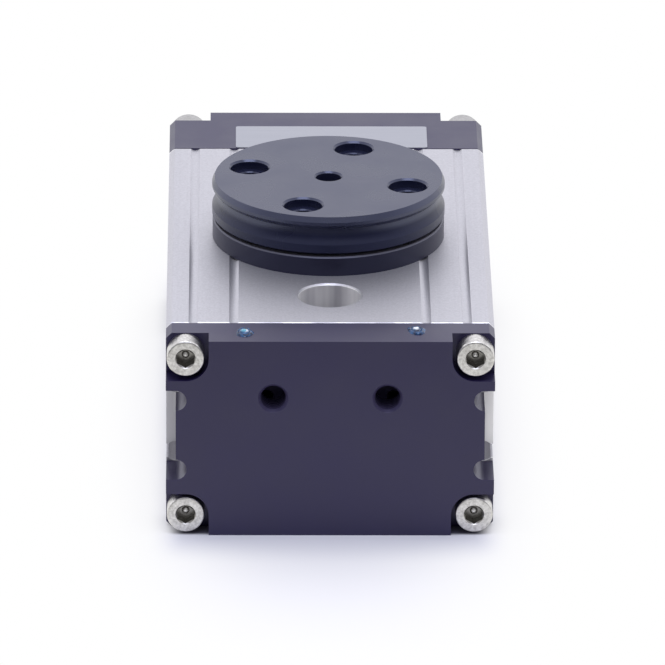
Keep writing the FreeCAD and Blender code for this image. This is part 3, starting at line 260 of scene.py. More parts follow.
def black_anodised_plate():
    # Milled aluminium, dyed black and anodised: near black with a violet cast and a satin skin, so
    # faces that lie flat to the eye turn grey. The dye shows faintly, and so do the cutter's passes,
    # drawn wider than they are. The threaded air ports are dull, and their colour is painted lighter
    # than the plate's, painted light inside the dark holes.
    pass_length = 45.0
    pass_depth = 1.2
    pass_width = 0.7
    grain_size = 0.4
    cloud_size = 11.0
    material, tree, place = start_finish("black_anodised_plate")
    across = add_node(tree, "ShaderNodeMapping", {
        "Vector": place, "Scale": (per(pass_length), per(pass_depth), per(pass_width))})
    passes = add_node(tree, "ShaderNodeTexNoise", {
        "Vector": across.outputs["Vector"], "Scale": 1.0, "Detail": 2.0})
    grain = add_node(tree, "ShaderNodeTexNoise", {
        "Vector": place, "Scale": per(grain_size), "Detail": 2.0})
    cloud = add_node(tree, "ShaderNodeTexNoise", {
        "Vector": place, "Scale": per(cloud_size), "Detail": 3.0})
    dyed = add_node(tree, "ShaderNodeMix", {
        "Factor": cloud.outputs["Fac"], "A": linear("#191434"), "B": linear("#211b41")}, data_type="RGBA")
    folded = add_node(tree, "ShaderNodeVectorMath", {0: place}, operation="ABSOLUTE")
    from_port = add_node(tree, "ShaderNodeVectorMath", {
        0: folded.outputs["Vector"], 1: (PORT_SIDE, 0, PORT_HEIGHT)}, operation="SUBTRACT")
    sideways = add_node(tree, "ShaderNodeVectorMath", {
        0: from_port.outputs["Vector"], 1: (1, 0, 1)}, operation="MULTIPLY")
    reach = add_node(tree, "ShaderNodeVectorMath", {0: sideways.outputs["Vector"]}, operation="LENGTH")
    parts = add_node(tree, "ShaderNodeSeparateXYZ", {"Vector": place})
    near = add_node(tree, "ShaderNodeMath", {
        0: reach.outputs["Value"], 1: PORT_MOUTH}, operation="LESS_THAN")
    behind = add_node(tree, "ShaderNodeMath", {
        0: parts.outputs["Y"], 1: FRONT_FACE + CUT_SKIN}, operation="GREATER_THAN")
    ahead = add_node(tree, "ShaderNodeMath", {0: parts.outputs["Y"], 1: 0.0}, operation="LESS_THAN")
    within = add_node(tree, "ShaderNodeMath", {
        0: behind.outputs["Value"], 1: ahead.outputs["Value"]}, operation="MULTIPLY")
    # Painted light: inside the air ports the colour is painted lighter, with less gloss.
    port_painted_light = add_node(tree, "ShaderNodeMath", {
        0: within.outputs["Value"], 1: near.outputs["Value"]}, operation="MULTIPLY")
    colour = add_node(tree, "ShaderNodeMix", {
        "Factor": port_painted_light.outputs["Value"], "A": dyed.outputs["Result"], "B": linear("#39354f")},
        data_type="RGBA")
    gloss = add_node(tree, "ShaderNodeMapRange", {
        "Value": port_painted_light.outputs["Value"], "To Min": 0.5, "To Max": 0.08})
    sheen = add_node(tree, "ShaderNodeMapRange", {
        "Value": cloud.outputs["Fac"], "From Min": 0.3, "From Max": 0.7, "To Min": 0.29, "To Max": 0.38})
    milled = add_node(tree, "ShaderNodeBump", {
        "Height": passes.outputs["Fac"], "Strength": 0.3, "Distance": 0.01 * MM})
    etched = add_node(tree, "ShaderNodeBump", {
        "Height": grain.outputs["Fac"], "Normal": milled.outputs["Normal"],
        "Strength": 0.35, "Distance": 0.008 * MM})
    surface = add_node(tree, "ShaderNodeBsdfPrincipled", {
        "Base Color": colour.outputs["Result"], "Metallic": 0.0, "IOR": 1.63,
        "Specular IOR Level": gloss.outputs["Result"], "Specular Tint": linear("#e8e6ff"),
        "Roughness": sheen.outputs["Result"], "Normal": etched.outputs["Normal"]})
    add_node(tree, "ShaderNodeOutputMaterial", {"Surface": surface.outputs["BSDF"]})
    return material


def black_turned_aluminium(name, light, dark, feed, skin, index, dull_below, highlight_above):
    # Turned aluminium, hard anodised black: the lathe's feed leaves fine rings round the axis, drawn
    # here wider than the real 0.1 mm so that they show, beneath a smooth blue-grey skin. Holes and what
    # lies below one height are duller, and above another height the colour is painted pale, a painted
    # highlight along the top edge.
    grain_size = 0.4
    cloud_size = 13.0
    material, tree, place = start_finish(name)
    rings = add_node(tree, "ShaderNodeTexWave", {
        "Vector": place, "Scale": WAVE_PERIOD * per(feed), "Distortion": 1.2, "Detail": 2.0,
        "Detail Scale": 0.4}, wave_type="RINGS", rings_direction="Z")
    grain = add_node(tree, "ShaderNodeTexNoise", {
        "Vector": place, "Scale": per(grain_size), "Detail": 2.0})
    cloud = add_node(tree, "ShaderNodeTexNoise", {
        "Vector": place, "Scale": per(cloud_size), "Detail": 3.0})
    dyed = add_node(tree, "ShaderNodeMix", {
        "Factor": cloud.outputs["Fac"], "A": linear(dark), "B": linear(light)}, data_type="RGBA")
    parts = add_node(tree, "ShaderNodeSeparateXYZ", {"Vector": place})
    # Painted highlight: above the given height the colour turns pale grey.
    painted_edge_highlight = add_node(tree, "ShaderNodeMapRange", {
        "Value": parts.outputs["Z"], "From Min": highlight_above, "From Max": highlight_above + HIGHLIGHT_FADE})
    colour = add_node(tree, "ShaderNodeMix", {
        "Factor": painted_edge_highlight.outputs["Result"], "A": dyed.outputs["Result"], "B": linear("#595863")},
        data_type="RGBA")
    low = add_node(tree, "ShaderNodeMapRange", {
        "Value": parts.outputs["Z"], "From Min": dull_below - DULL_FADE, "From Max": dull_below,
        "To Min": 0.18, "To Max": 0.5})
    level = add_node(tree, "ShaderNodeVectorMath", {0: place, 1: (1, 1, 0)}, operation="MULTIPLY")
    reach = add_node(tree, "ShaderNodeVectorMath", {0: level.outputs["Vector"]}, operation="LENGTH")
    inward = add_node(tree, "ShaderNodeMath", {
        0: reach.outputs["Value"], 1: FLANGE_INSIDE}, operation="LESS_THAN")
    sunk = add_node(tree, "ShaderNodeMath", {
        0: parts.outputs["Z"], 1: FLANGE_TOP - HOLE_LIP}, operation="LESS_THAN")
    hole = add_node(tree, "ShaderNodeMath", {
        0: inward.outputs["Value"], 1: sunk.outputs["Value"]}, operation="MULTIPLY")
    gloss = add_node(tree, "ShaderNodeMix", {
        "Factor": hole.outputs["Value"], "A": low.outputs["Result"], "B": 0.3})
    sheen = add_node(tree, "ShaderNodeMapRange", {
        "Value": cloud.outputs["Fac"], "From Min": 0.3, "From Max": 0.7,
        "To Min": skin - 0.04, "To Max": skin + 0.06})
    turned = add_node(tree, "ShaderNodeBump", {
        "Height": rings.outputs["Fac"], "Strength": 0.12, "Distance": 0.01 * MM})
    etched = add_node(tree, "ShaderNodeBump", {
        "Height": grain.outputs["Fac"], "Normal": turned.outputs["Normal"],
        "Strength": 0.3, "Distance": 0.006 * MM})
    surface = add_node(tree, "ShaderNodeBsdfPrincipled", {
        "Base Color": colour.outputs["Result"], "Metallic": 0.0, "IOR": index,
        "Specular IOR Level": gloss.outputs["Result"], "Specular Tint": linear("#d9e0ff"),
        "Roughness": sheen.outputs["Result"], "Normal": etched.outputs["Normal"]})
    add_node(tree, "ShaderNodeOutputMaterial", {"Surface": surface.outputs["BSDF"]})
    return material


def zinc_plated_steel(name, light, dark):
    # Cold-headed steel, zinc plated and clear passivated: a warm pale grey with a soft metal shine
    # and a fine mottle. Inside the hexagon sockets the colour is painted darker, painted shade in the
    # sockets.
    grain_size = 0.3
    mottle_size = 0.6
    material, tree, place = start_finish(name)
    grain = add_node(tree, "ShaderNodeTexNoise", {
        "Vector": place, "Scale": per(grain_size), "Detail": 3.0})
    mottle = add_node(tree, "ShaderNodeTexNoise", {
        "Vector": place, "Scale": per(mottle_size), "Detail": 3.0})
    spread = add_node(tree, "ShaderNodeMapRange", {
        "Value": mottle.outputs["Fac"], "From Min": 0.33, "From Max": 0.67})
    plating = add_node(tree, "ShaderNodeMix", {
        "Factor": spread.outputs["Result"], "A": linear(dark), "B": linear(light)}, data_type="RGBA")
    centred = add_node(tree, "ShaderNodeVectorMath", {
        0: place, 1: (0, 0, SCREW_MIDDLE)}, operation="SUBTRACT")
    folded = add_node(tree, "ShaderNodeVectorMath", {0: centred.outputs["Vector"]}, operation="ABSOLUTE")
    from_axis = add_node(tree, "ShaderNodeVectorMath", {
        0: folded.outputs["Vector"], 1: (SCREW_SIDE, 0, SCREW_RISE)}, operation="SUBTRACT")
    sideways = add_node(tree, "ShaderNodeVectorMath", {
        0: from_axis.outputs["Vector"], 1: (1, 0, 1)}, operation="MULTIPLY")
    reach = add_node(tree, "ShaderNodeVectorMath", {0: sideways.outputs["Vector"]}, operation="LENGTH")
    parts = add_node(tree, "ShaderNodeSeparateXYZ", {"Vector": place})
    near = add_node(tree, "ShaderNodeMath", {
        0: reach.outputs["Value"], 1: SOCKET_REACH}, operation="LESS_THAN")
    front_depth = add_node(tree, "ShaderNodeMath", {
        0: parts.outputs["Y"], 1: FRONT_SCREW_FACE + SOCKET_LIP}, operation="GREATER_THAN")
    rear_depth = add_node(tree, "ShaderNodeMath", {
        0: parts.outputs["Y"], 1: REAR_SCREW_FACE - SOCKET_LIP}, operation="LESS_THAN")
    inside = add_node(tree, "ShaderNodeMath", {
        0: front_depth.outputs["Value"], 1: rear_depth.outputs["Value"]}, operation="MULTIPLY")
    # Painted shade: the insides of the sockets take a darker grey.
    socket = add_node(tree, "ShaderNodeMath", {
        0: inside.outputs["Value"], 1: near.outputs["Value"]}, operation="MULTIPLY")
    colour = add_node(tree, "ShaderNodeMix", {
        "Factor": socket.outputs["Value"], "A": plating.outputs["Result"], "B": linear("#92908b")},
        data_type="RGBA")
    sheen = add_node(tree, "ShaderNodeMapRange", {
        "Value": grain.outputs["Fac"], "To Min": 0.24, "To Max": 0.4})
    plated = add_node(tree, "ShaderNodeBump", {
        "Height": grain.outputs["Fac"], "Strength": 0.3, "Distance": 0.008 * MM})
    surface = add_node(tree, "ShaderNodeBsdfPrincipled", {
        "Base Color": colour.outputs["Result"], "Metallic": 1.0, "Roughness": sheen.outputs["Result"],
        "Normal": plated.outputs["Normal"]})
    add_node(tree, "ShaderNodeOutputMaterial", {"Surface": surface.outputs["BSDF"]})
    return material


def label_foil():
    # Silvered polyester foil with a lacquered face: a flat, cool grey with a faint roll grain.
    roll_length = 30.0
    roll_width = 0.5
    material, tree, place = start_finish("label_foil")
    rolled = add_node(tree, "ShaderNodeMapping", {
        "Vector": place, "Scale": (per(roll_length), per(roll_width), per(roll_width))})
    grain = add_node(tree, "ShaderNodeTexNoise", {
        "Vector": rolled.outputs["Vector"], "Scale": 1.0, "Detail": 2.0})
    colour = add_node(tree, "ShaderNodeMix", {
        "Factor": grain.outputs["Fac"], "A": linear("#9c9ea6"), "B": linear("#acadb4")}, data_type="RGBA")
    sheen = add_node(tree, "ShaderNodeMapRange", {
        "Value": grain.outputs["Fac"], "To Min": 0.32, "To Max": 0.44})
    surface = add_node(tree, "ShaderNodeBsdfPrincipled", {
        "Base Color": colour.outputs["Result"], "Metallic": 0.25, "Roughness": sheen.outputs["Result"]})
    add_node(tree, "ShaderNodeOutputMaterial", {"Surface": surface.outputs["BSDF"]})
    return material


def blue_sealing_lacquer():
    # Brushed-on sealing lacquer: a glossy film, navy blue where it pools at the rim and thin on the
    # top of the pressed-in steel ball, which shines through it pale blue, with small white flecks
    # painted on it as glints.
    pool_size = 0.9
    glint_size = 1.3
    material, tree, place = start_finish("blue_sealing_lacquer")
    pool = add_node(tree, "ShaderNodeTexNoise", {"Vector": place, "Scale": per(pool_size), "Detail": 2.0})
    thick = add_node(tree, "ShaderNodeMapRange", {
        "Value": pool.outputs["Fac"], "From Min": 0.35, "From Max": 0.65})
    parts = add_node(tree, "ShaderNodeSeparateXYZ", {"Vector": place})
    clear = add_node(tree, "ShaderNodeMapRange", {
        "Value": parts.outputs["Z"], "From Min": BODY_TOP + RIM_HEIGHT, "From Max": BODY_TOP + BALL_HEIGHT},
        interpolation_type="SMOOTHSTEP")
    film = add_node(tree, "ShaderNodeMix", {
        "Factor": thick.outputs["Result"], "A": linear("#08193a"), "B": linear("#1f5688")}, data_type="RGBA")
    painted_glints = add_node(tree, "ShaderNodeTexNoise", {
        "Vector": place, "Scale": per(glint_size), "Detail": 1.0})
    # Painted glints: white flecks mixed into the ball's colour.
    bare = add_node(tree, "ShaderNodeMapRange", {
        "Value": painted_glints.outputs["Fac"], "From Min": 0.44, "From Max": 0.52})
    ball = add_node(tree, "ShaderNodeMix", {
        "Factor": bare.outputs["Result"], "A": linear("#6fb2c9"), "B": linear("#f4f7ff")}, data_type="RGBA")
    colour = add_node(tree, "ShaderNodeMix", {
        "Factor": clear.outputs["Result"], "A": film.outputs["Result"], "B": ball.outputs["Result"]},
        data_type="RGBA")
    dried = add_node(tree, "ShaderNodeBump", {
        "Height": pool.outputs["Fac"], "Strength": 0.8, "Distance": 0.2 * MM})
    surface = add_node(tree, "ShaderNodeBsdfPrincipled", {
        "Base Color": colour.outputs["Result"], "Metallic": clear.outputs["Result"], "Roughness": 0.06,
        "Normal": dried.outputs["Normal"]})
    add_node(tree, "ShaderNodeOutputMaterial", {"Surface": surface.outputs["BSDF"]})
    return material


# Materials inside the module, with pattern sizes in millimetres
def worked_metal(name, light, dark, low, high, lay):
    """A bare or blackened metal: low and high bound its roughness, lay is its tool marks in X, Y and Z."""
    material, tree, place = start_finish(name)
    marks = add_node(tree, "ShaderNodeMapping", {
        "Vector": place, "Scale": tuple(per(size) for size in lay)})
    cut = add_node(tree, "ShaderNodeTexNoise", {
        "Vector": marks.outputs["Vector"], "Scale": 1.0, "Detail": 3.0})
    colour = add_node(tree, "ShaderNodeMix", {
        "Factor": cut.outputs["Fac"], "A": linear(dark), "B": linear(light)}, data_type="RGBA")
    sheen = add_node(tree, "ShaderNodeMapRange", {
        "Value": cut.outputs["Fac"], "To Min": low, "To Max": high})
    scored = add_node(tree, "ShaderNodeBump", {
        "Height": cut.outputs["Fac"], "Strength": 0.25, "Distance": 0.01 * MM})
    surface = add_node(tree, "ShaderNodeBsdfPrincipled", {
        "Base Color": colour.outputs["Result"], "Metallic": 1.0, "Roughness": sheen.outputs["Result"],
        "Normal": scored.outputs["Normal"]})
    add_node(tree, "ShaderNodeOutputMaterial", {"Surface": surface.outputs["BSDF"]})
    return material


def black_oxide_steel():
    # Blackened screw steel with an oily sheen and short random marks.
    return worked_metal(
        "black_oxide_steel", light="#4a4846", dark="#2c2b2a", low=0.3, high=0.45, lay=(0.6, 0.6, 0.6))


def bearing_steel():
    # Hardened chrome steel, ground and honed: bright and smooth, with marks round the ring.
    return worked_metal(
        "bearing_steel", light="#d8d8da", dark="#c2c2c6", low=0.12, high=0.2, lay=(4.0, 4.0, 0.3))


def punched_steel():
    # Steel pressed bright by the punch that forms a socket: pale and finely pitted.
    return worked_metal(
        "punched_steel", light="#f4f3f0", dark="#e2e0dd", low=0.3, high=0.44, lay=(0.3, 0.3, 0.3))


def ground_gear_steel():
    # Case-hardened steel, ground and oiled: mid grey with fine lines along the teeth.
    return worked_metal(
        "ground_gear_steel", light="#a9a8a6", dark="#8b8a89", low=0.26, high=0.38, lay=(0.4, 0.4, 6.0))


def turned_aluminium():
    # Turned bare aluminium: light grey with fine feed marks along the piston's axis.
    return worked_metal(
        "turned_aluminium", light="#d6d6d8", dark="#bfbfc4", low=0.28, high=0.38, lay=(5.0, 0.3, 5.0))


def moulded_matt(name, light, dark, roughness, grain_size):
    """A matt moulded or pressed material with a grain of that size in millimetres."""
    material, tree, place = start_finish(name)
    grain = add_node(tree, "ShaderNodeTexNoise", {"Vector": place, "Scale": per(grain_size), "Detail": 3.0})
    colour = add_node(tree, "ShaderNodeMix", {
        "Factor": grain.outputs["Fac"], "A": linear(dark), "B": linear(light)}, data_type="RGBA")
    sheen = add_node(tree, "ShaderNodeMapRange", {
        "Value": grain.outputs["Fac"], "To Min": roughness - 0.08, "To Max": roughness + 0.08})
    pitted = add_node(tree, "ShaderNodeBump", {
        "Height": grain.outputs["Fac"], "Strength": 0.4, "Distance": 0.015 * MM})
    surface = add_node(tree, "ShaderNodeBsdfPrincipled", {
        "Base Color": colour.outputs["Result"], "Roughness": sheen.outputs["Result"],
        "Normal": pitted.outputs["Normal"]})
    add_node(tree, "ShaderNodeOutputMaterial", {"Surface": surface.outputs["BSDF"]})
    return material


def nitrile_rubber():
    # Moulded nitrile rubber: black and matt, with a faint bloom.
    return moulded_matt(
        "nitrile_rubber", light="#232324", dark="#141414", roughness=0.62, grain_size=0.5)


def cast_polyurethane():
    # Cast polyurethane: an amber brown that is a little glossy.
    return moulded_matt(
        "cast_polyurethane", light="#8a4f20", dark="#6b3a14", roughness=0.4, grain_size=1.2)


def filled_fluoropolymer():
    # Bronze-filled fluoropolymer strip: a dull grey-green with fine specks.
    return moulded_matt(
        "filled_fluoropolymer", light="#5d6a58", dark="#414d42", roughness=0.5, grain_size=0.25)


def pressed_ferrite():
    # Pressed and sintered ferrite: dark grey and finely granular.
    return moulded_matt(
        "pressed_ferrite", light="#3a3a3c", dark="#2a2a2c", roughness=0.55, grain_size=0.2)


clear_anodised = clear_anodised_extrusion()
black_plate = black_anodised_plate()
# The flange's painted highlight starts at its top face, so nothing is painted there; the ring's covers its
# top 0.3 mm edge.
black_flange = black_turned_aluminium(
    "black_turned_flange", light="#1f223b", dark="#181a2f", feed=0.7, skin=0.28, index=1.82,
    dull_below=FLANGE_TOP - FLANGE_GROOVE, highlight_above=FLANGE_TOP)
black_ring = black_turned_aluminium(
    "black_turned_ring", light="#1b192e", dark="#131122", feed=0.9, skin=0.34, index=1.5,
    dull_below=0.0, highlight_above=RING_TOP - RING_EDGE)
zinc = zinc_plated_steel("zinc_plated_steel", light="#e7e5e1", dark="#bfbdb9")
# A darker copy of the zinc finish for the rear cover screws: painted shade.
shaded_zinc = zinc_plated_steel("shaded_zinc_plated_steel", light="#b9b8b6", dark="#a6a5a3")
oxide = black_oxide_steel()
bright_steel = bearing_steel()
gear_steel = ground_gear_steel()
point_steel = punched_steel()
piston_metal = turned_aluminium()
rubber = nitrile_rubber()
polyurethane = cast_polyurethane()
fluoropolymer = filled_fluoropolymer()
ferrite = pressed_ferrite()
foil = label_foil()
lacquer = blue_sealing_lacquer()

SLOT_FINISHES = {
    "silver_anodised": clear_anodised,
    "black_anodised": black_plate,
    "black_turned": black_flange,
    "zinc_steel": zinc,
    "dark_steel": oxide,
    "bright_steel": bright_steel,
    "gear_steel": gear_steel,
    "black_rubber": rubber,
    "bumper_rubber": polyurethane,
    "piston_aluminium": piston_metal,
    "guide_plastic": fluoropolymer,
    "ferrite": ferrite,
}
# The rear cover screws take the darker copy of the zinc, painted shade.
NODE_FINISHES = {"bearing_cover": black_ring, "rear_cover_screws": shaded_zinc}


def dress_nodes():
    """Gives every CAD node the finish of its slot in the record."""
    for row in frame["record"]["subparts"]:
        node = frame["nodes"][row["node"]]
        node.data.materials.clear()
        node.data.materials.append(NODE_FINISHES.get(row["node"], SLOT_FINISHES[row["material_slot"]]))


def make_piece(name, shape, finish, body, smooth=False):
    """Turns a finished mesh into a piece that moves with a body."""
    bmesh.ops.recalc_face_normals(shape, faces=shape.faces)
    for face in shape.faces:
        face.smooth = smooth
    mesh = bpy.data.meshes.new(name)
    shape.to_mesh(mesh)
    shape.free()
    piece = bpy.data.objects.new(name, mesh)
    bpy.context.scene.collection.objects.link(piece)
    mesh.materials.append(finish)
    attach(piece, body)


def add_thread(shape, start, axis, root, crest, length):
    """A helical ridge that runs from start along axis, from the root radius to the crest radius."""
    side = axis.orthogonal().normalized()
    flank = axis * THREAD_FLANK
    corners = [start + side * root - flank, start + side * crest, start + side * root + flank]
    profile = [shape.verts.new(corner) for corner in corners]
    rim = [shape.edges.new((profile[i - 1], profile[i])) for i in range(len(profile))]
    turns = length / THREAD_PITCH
    steps = round(turns * THREAD_STEPS)
    swept = bmesh.ops.spin(
        shape, geom=profile + rim, cent=start, axis=axis, dvec=axis * (length / steps),
        angle=2 * math.pi * turns, steps=steps)
    last = [part for part in swept["geom_last"] if isinstance(part, bmesh.types.BMEdge)]
    bmesh.ops.edgeloop_fill(shape, edges=rim)
    bmesh.ops.edgeloop_fill(shape, edges=last)


def port_threads():
    """Thread crests in the two air ports."""
    shape = bmesh.new()
    length = PORT_DEPTH - PORT_THREAD_INSET - THREAD_PITCH
    for side in (-1, 1):
        start = Vector((PORT_SIDE * side, FRONT_FACE + PORT_THREAD_INSET, PORT_HEIGHT))
        add_thread(shape, start, REAR, PORT_CORE + THREAD_SEAT, PORT_CORE - PORT_THREAD_HEIGHT, length)
    make_piece("port_threads", shape, black_plate, "base")


def flange_threads():
    """Thread crests below the centring step of the four flange holes."""
    shape = bmesh.new()
    root = FLANGE_THREAD_CORE + THREAD_SEAT
    crest = FLANGE_THREAD_CORE - FLANGE_THREAD_HEIGHT
    length = FLANGE_THREAD_DEPTH - FLANGE_HOLE_STEP - 2 * THREAD_PITCH
    for step in range(FLANGE_HOLES):
        angle = FLANGE_TURN + 2 * math.pi * step / FLANGE_HOLES
        start = Vector((math.cos(angle), math.sin(angle), 0)) * FLANGE_HOLE_CIRCLE
        start.z = FLANGE_TOP - FLANGE_THREAD_DEPTH + THREAD_PITCH
        add_thread(shape, start, OUTPUT_AXIS, root, crest, length)
    make_piece("flange_threads", shape, black_flange, "rotor")


def stop_threads():
    """Thread crests on the ends of the stop screws, outside their lock nuts."""
    shape = bmesh.new()
    nut_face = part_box("stop_lock_nuts")[1].y
    screw_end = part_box("stop_screws")[1].y
    root = STOP_RADIUS - STOP_THREAD_SEAT
    crest = STOP_RADIUS + STOP_THREAD_HEIGHT
    length = screw_end - STOP_END_BEVEL - nut_face - THREAD_PITCH
    for side in (-1, 1):
        start = Vector((STOP_SIDE * side, nut_face + THREAD_PITCH / 2, BODY_MIDDLE))
        add_thread(shape, start, REAR, root, crest, length)
    make_piece("stop_threads", shape, oxide, "base")


def rear_label():
    """The bare foil label on top of the rear cover."""
    shape = bmesh.new()
    half = LABEL_THICKNESS / 2
    middle = Vector((LABEL_MIDDLE, BODY_REAR + LABEL_GAP + LABEL_DEPTH / 2, BODY_TOP + half))
    size = Matrix.Diagonal((LABEL_WIDTH, LABEL_DEPTH, LABEL_THICKNESS, 1))
    bmesh.ops.create_cube(shape, size=1, matrix=Matrix.Translation(middle) @ size)
    upright = [edge for edge in shape.edges if abs(edge.verts[0].co.z - edge.verts[1].co.z) > half]
    bmesh.ops.bevel(
        shape, geom=upright, offset=LABEL_CORNER, affect="EDGES", segments=5, profile=0.5, material=-1)
    make_piece("rear_label", shape, foil, "base")


def lacquer_drop(name, side, spread, forward, seed):
    """A dried film of lacquer over one ball plug, uneven at its rim and raised over the ball."""
    shape = bmesh.new()
    bmesh.ops.create_uvsphere(shape, u_segments=48, v_segments=40, radius=1)
    for vert in shape.verts:
        reach = math.hypot(vert.co.x, vert.co.y)
        ball = BALL_HEIGHT * math.sqrt(max(0, 1 - (reach / BALL_SHARE) ** 2))
        rim = RIM_HEIGHT * math.sin(math.pi * max(0, reach - RIM_START) / (1 - RIM_START))
        uneven = 1 + DROP_UNEVEN * noise.noise(Vector((vert.co.x, vert.co.y, seed)) * DROP_WAVES)
        rise = max(ball, rim) if vert.co.z > 0 else vert.co.z * FILM_HEIGHT
        vert.co = (vert.co.x * spread[0] * uneven, vert.co.y * spread[1] * uneven, rise)
    place = Matrix.Translation((PLUG_SIDE * side, BODY_FRONT - PLUG_BACK - forward, BODY_TOP))
    bmesh.ops.transform(shape, matrix=place, verts=shape.verts)
    make_piece(name, shape, lacquer, "base", smooth=True)


def socket_points(name, face, inward):
    """The bright centre points that the punch leaves on the floors of the cover screws' sockets."""
    shape = bmesh.new()
    size = Matrix.Diagonal((SOCKET_POINT_RADIUS, SOCKET_POINT_RISE, SOCKET_POINT_RADIUS, 1))
    for across in (-1, 1):
        for rise in (-1, 1):
            height = SCREW_MIDDLE + SCREW_RISE * rise
            spot = Vector((SCREW_SIDE * across, face + SOCKET_DEPTH * inward, height))
            bmesh.ops.create_uvsphere(
                shape, u_segments=20, v_segments=12, radius=1, matrix=Matrix.Translation(spot) @ size)
    make_piece(name, shape, point_steel, "base", smooth=True)


dress_nodes()
socket_points("front_socket_points", FRONT_SCREW_FACE, 1)
socket_points("rear_socket_points", REAR_SCREW_FACE, -1)
port_threads()
flange_threads()
stop_threads()
rear_label()
lacquer_drop("left_lacquer", side=-1, spread=(2.2 * MM, 2.6 * MM), forward=0.6 * MM, seed=3.7)
lacquer_drop("right_lacquer", side=1, spread=(2.1 * MM, 2.5 * MM), forward=-0.8 * MM, seed=8.1)

# Floor: its size, where it turns white, and the painted shade beneath and around the module
FLOOR_REACH = 4.0
FLOOR_FRONT = 0.25
FLOOR_NEAR = 0.055
FLOOR_FAR = 0.245
FLOOR_SIDE_FADE = 4.2
FOOT_HALF_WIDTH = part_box("front_cover")[1].x
FOOT_HALF_LENGTH = (REAR_FACE - FRONT_FACE) / 2
FOOT_MIDDLE = (0, (REAR_FACE + FRONT_FACE) / 2, 0)
FOOT_FADE = 4.5 * MM
FOOT_EDGE = 1.5 * MM
FOOT_SPREAD = 18.0 * MM

# Lamp
LAMP_PLACE = Vector((0.0, -0.35, 1.1))
LAMP_TARGET = Vector((0, 0, 0))
LAMP_SIZE = 0.8
LAMP_POWER = 5.0


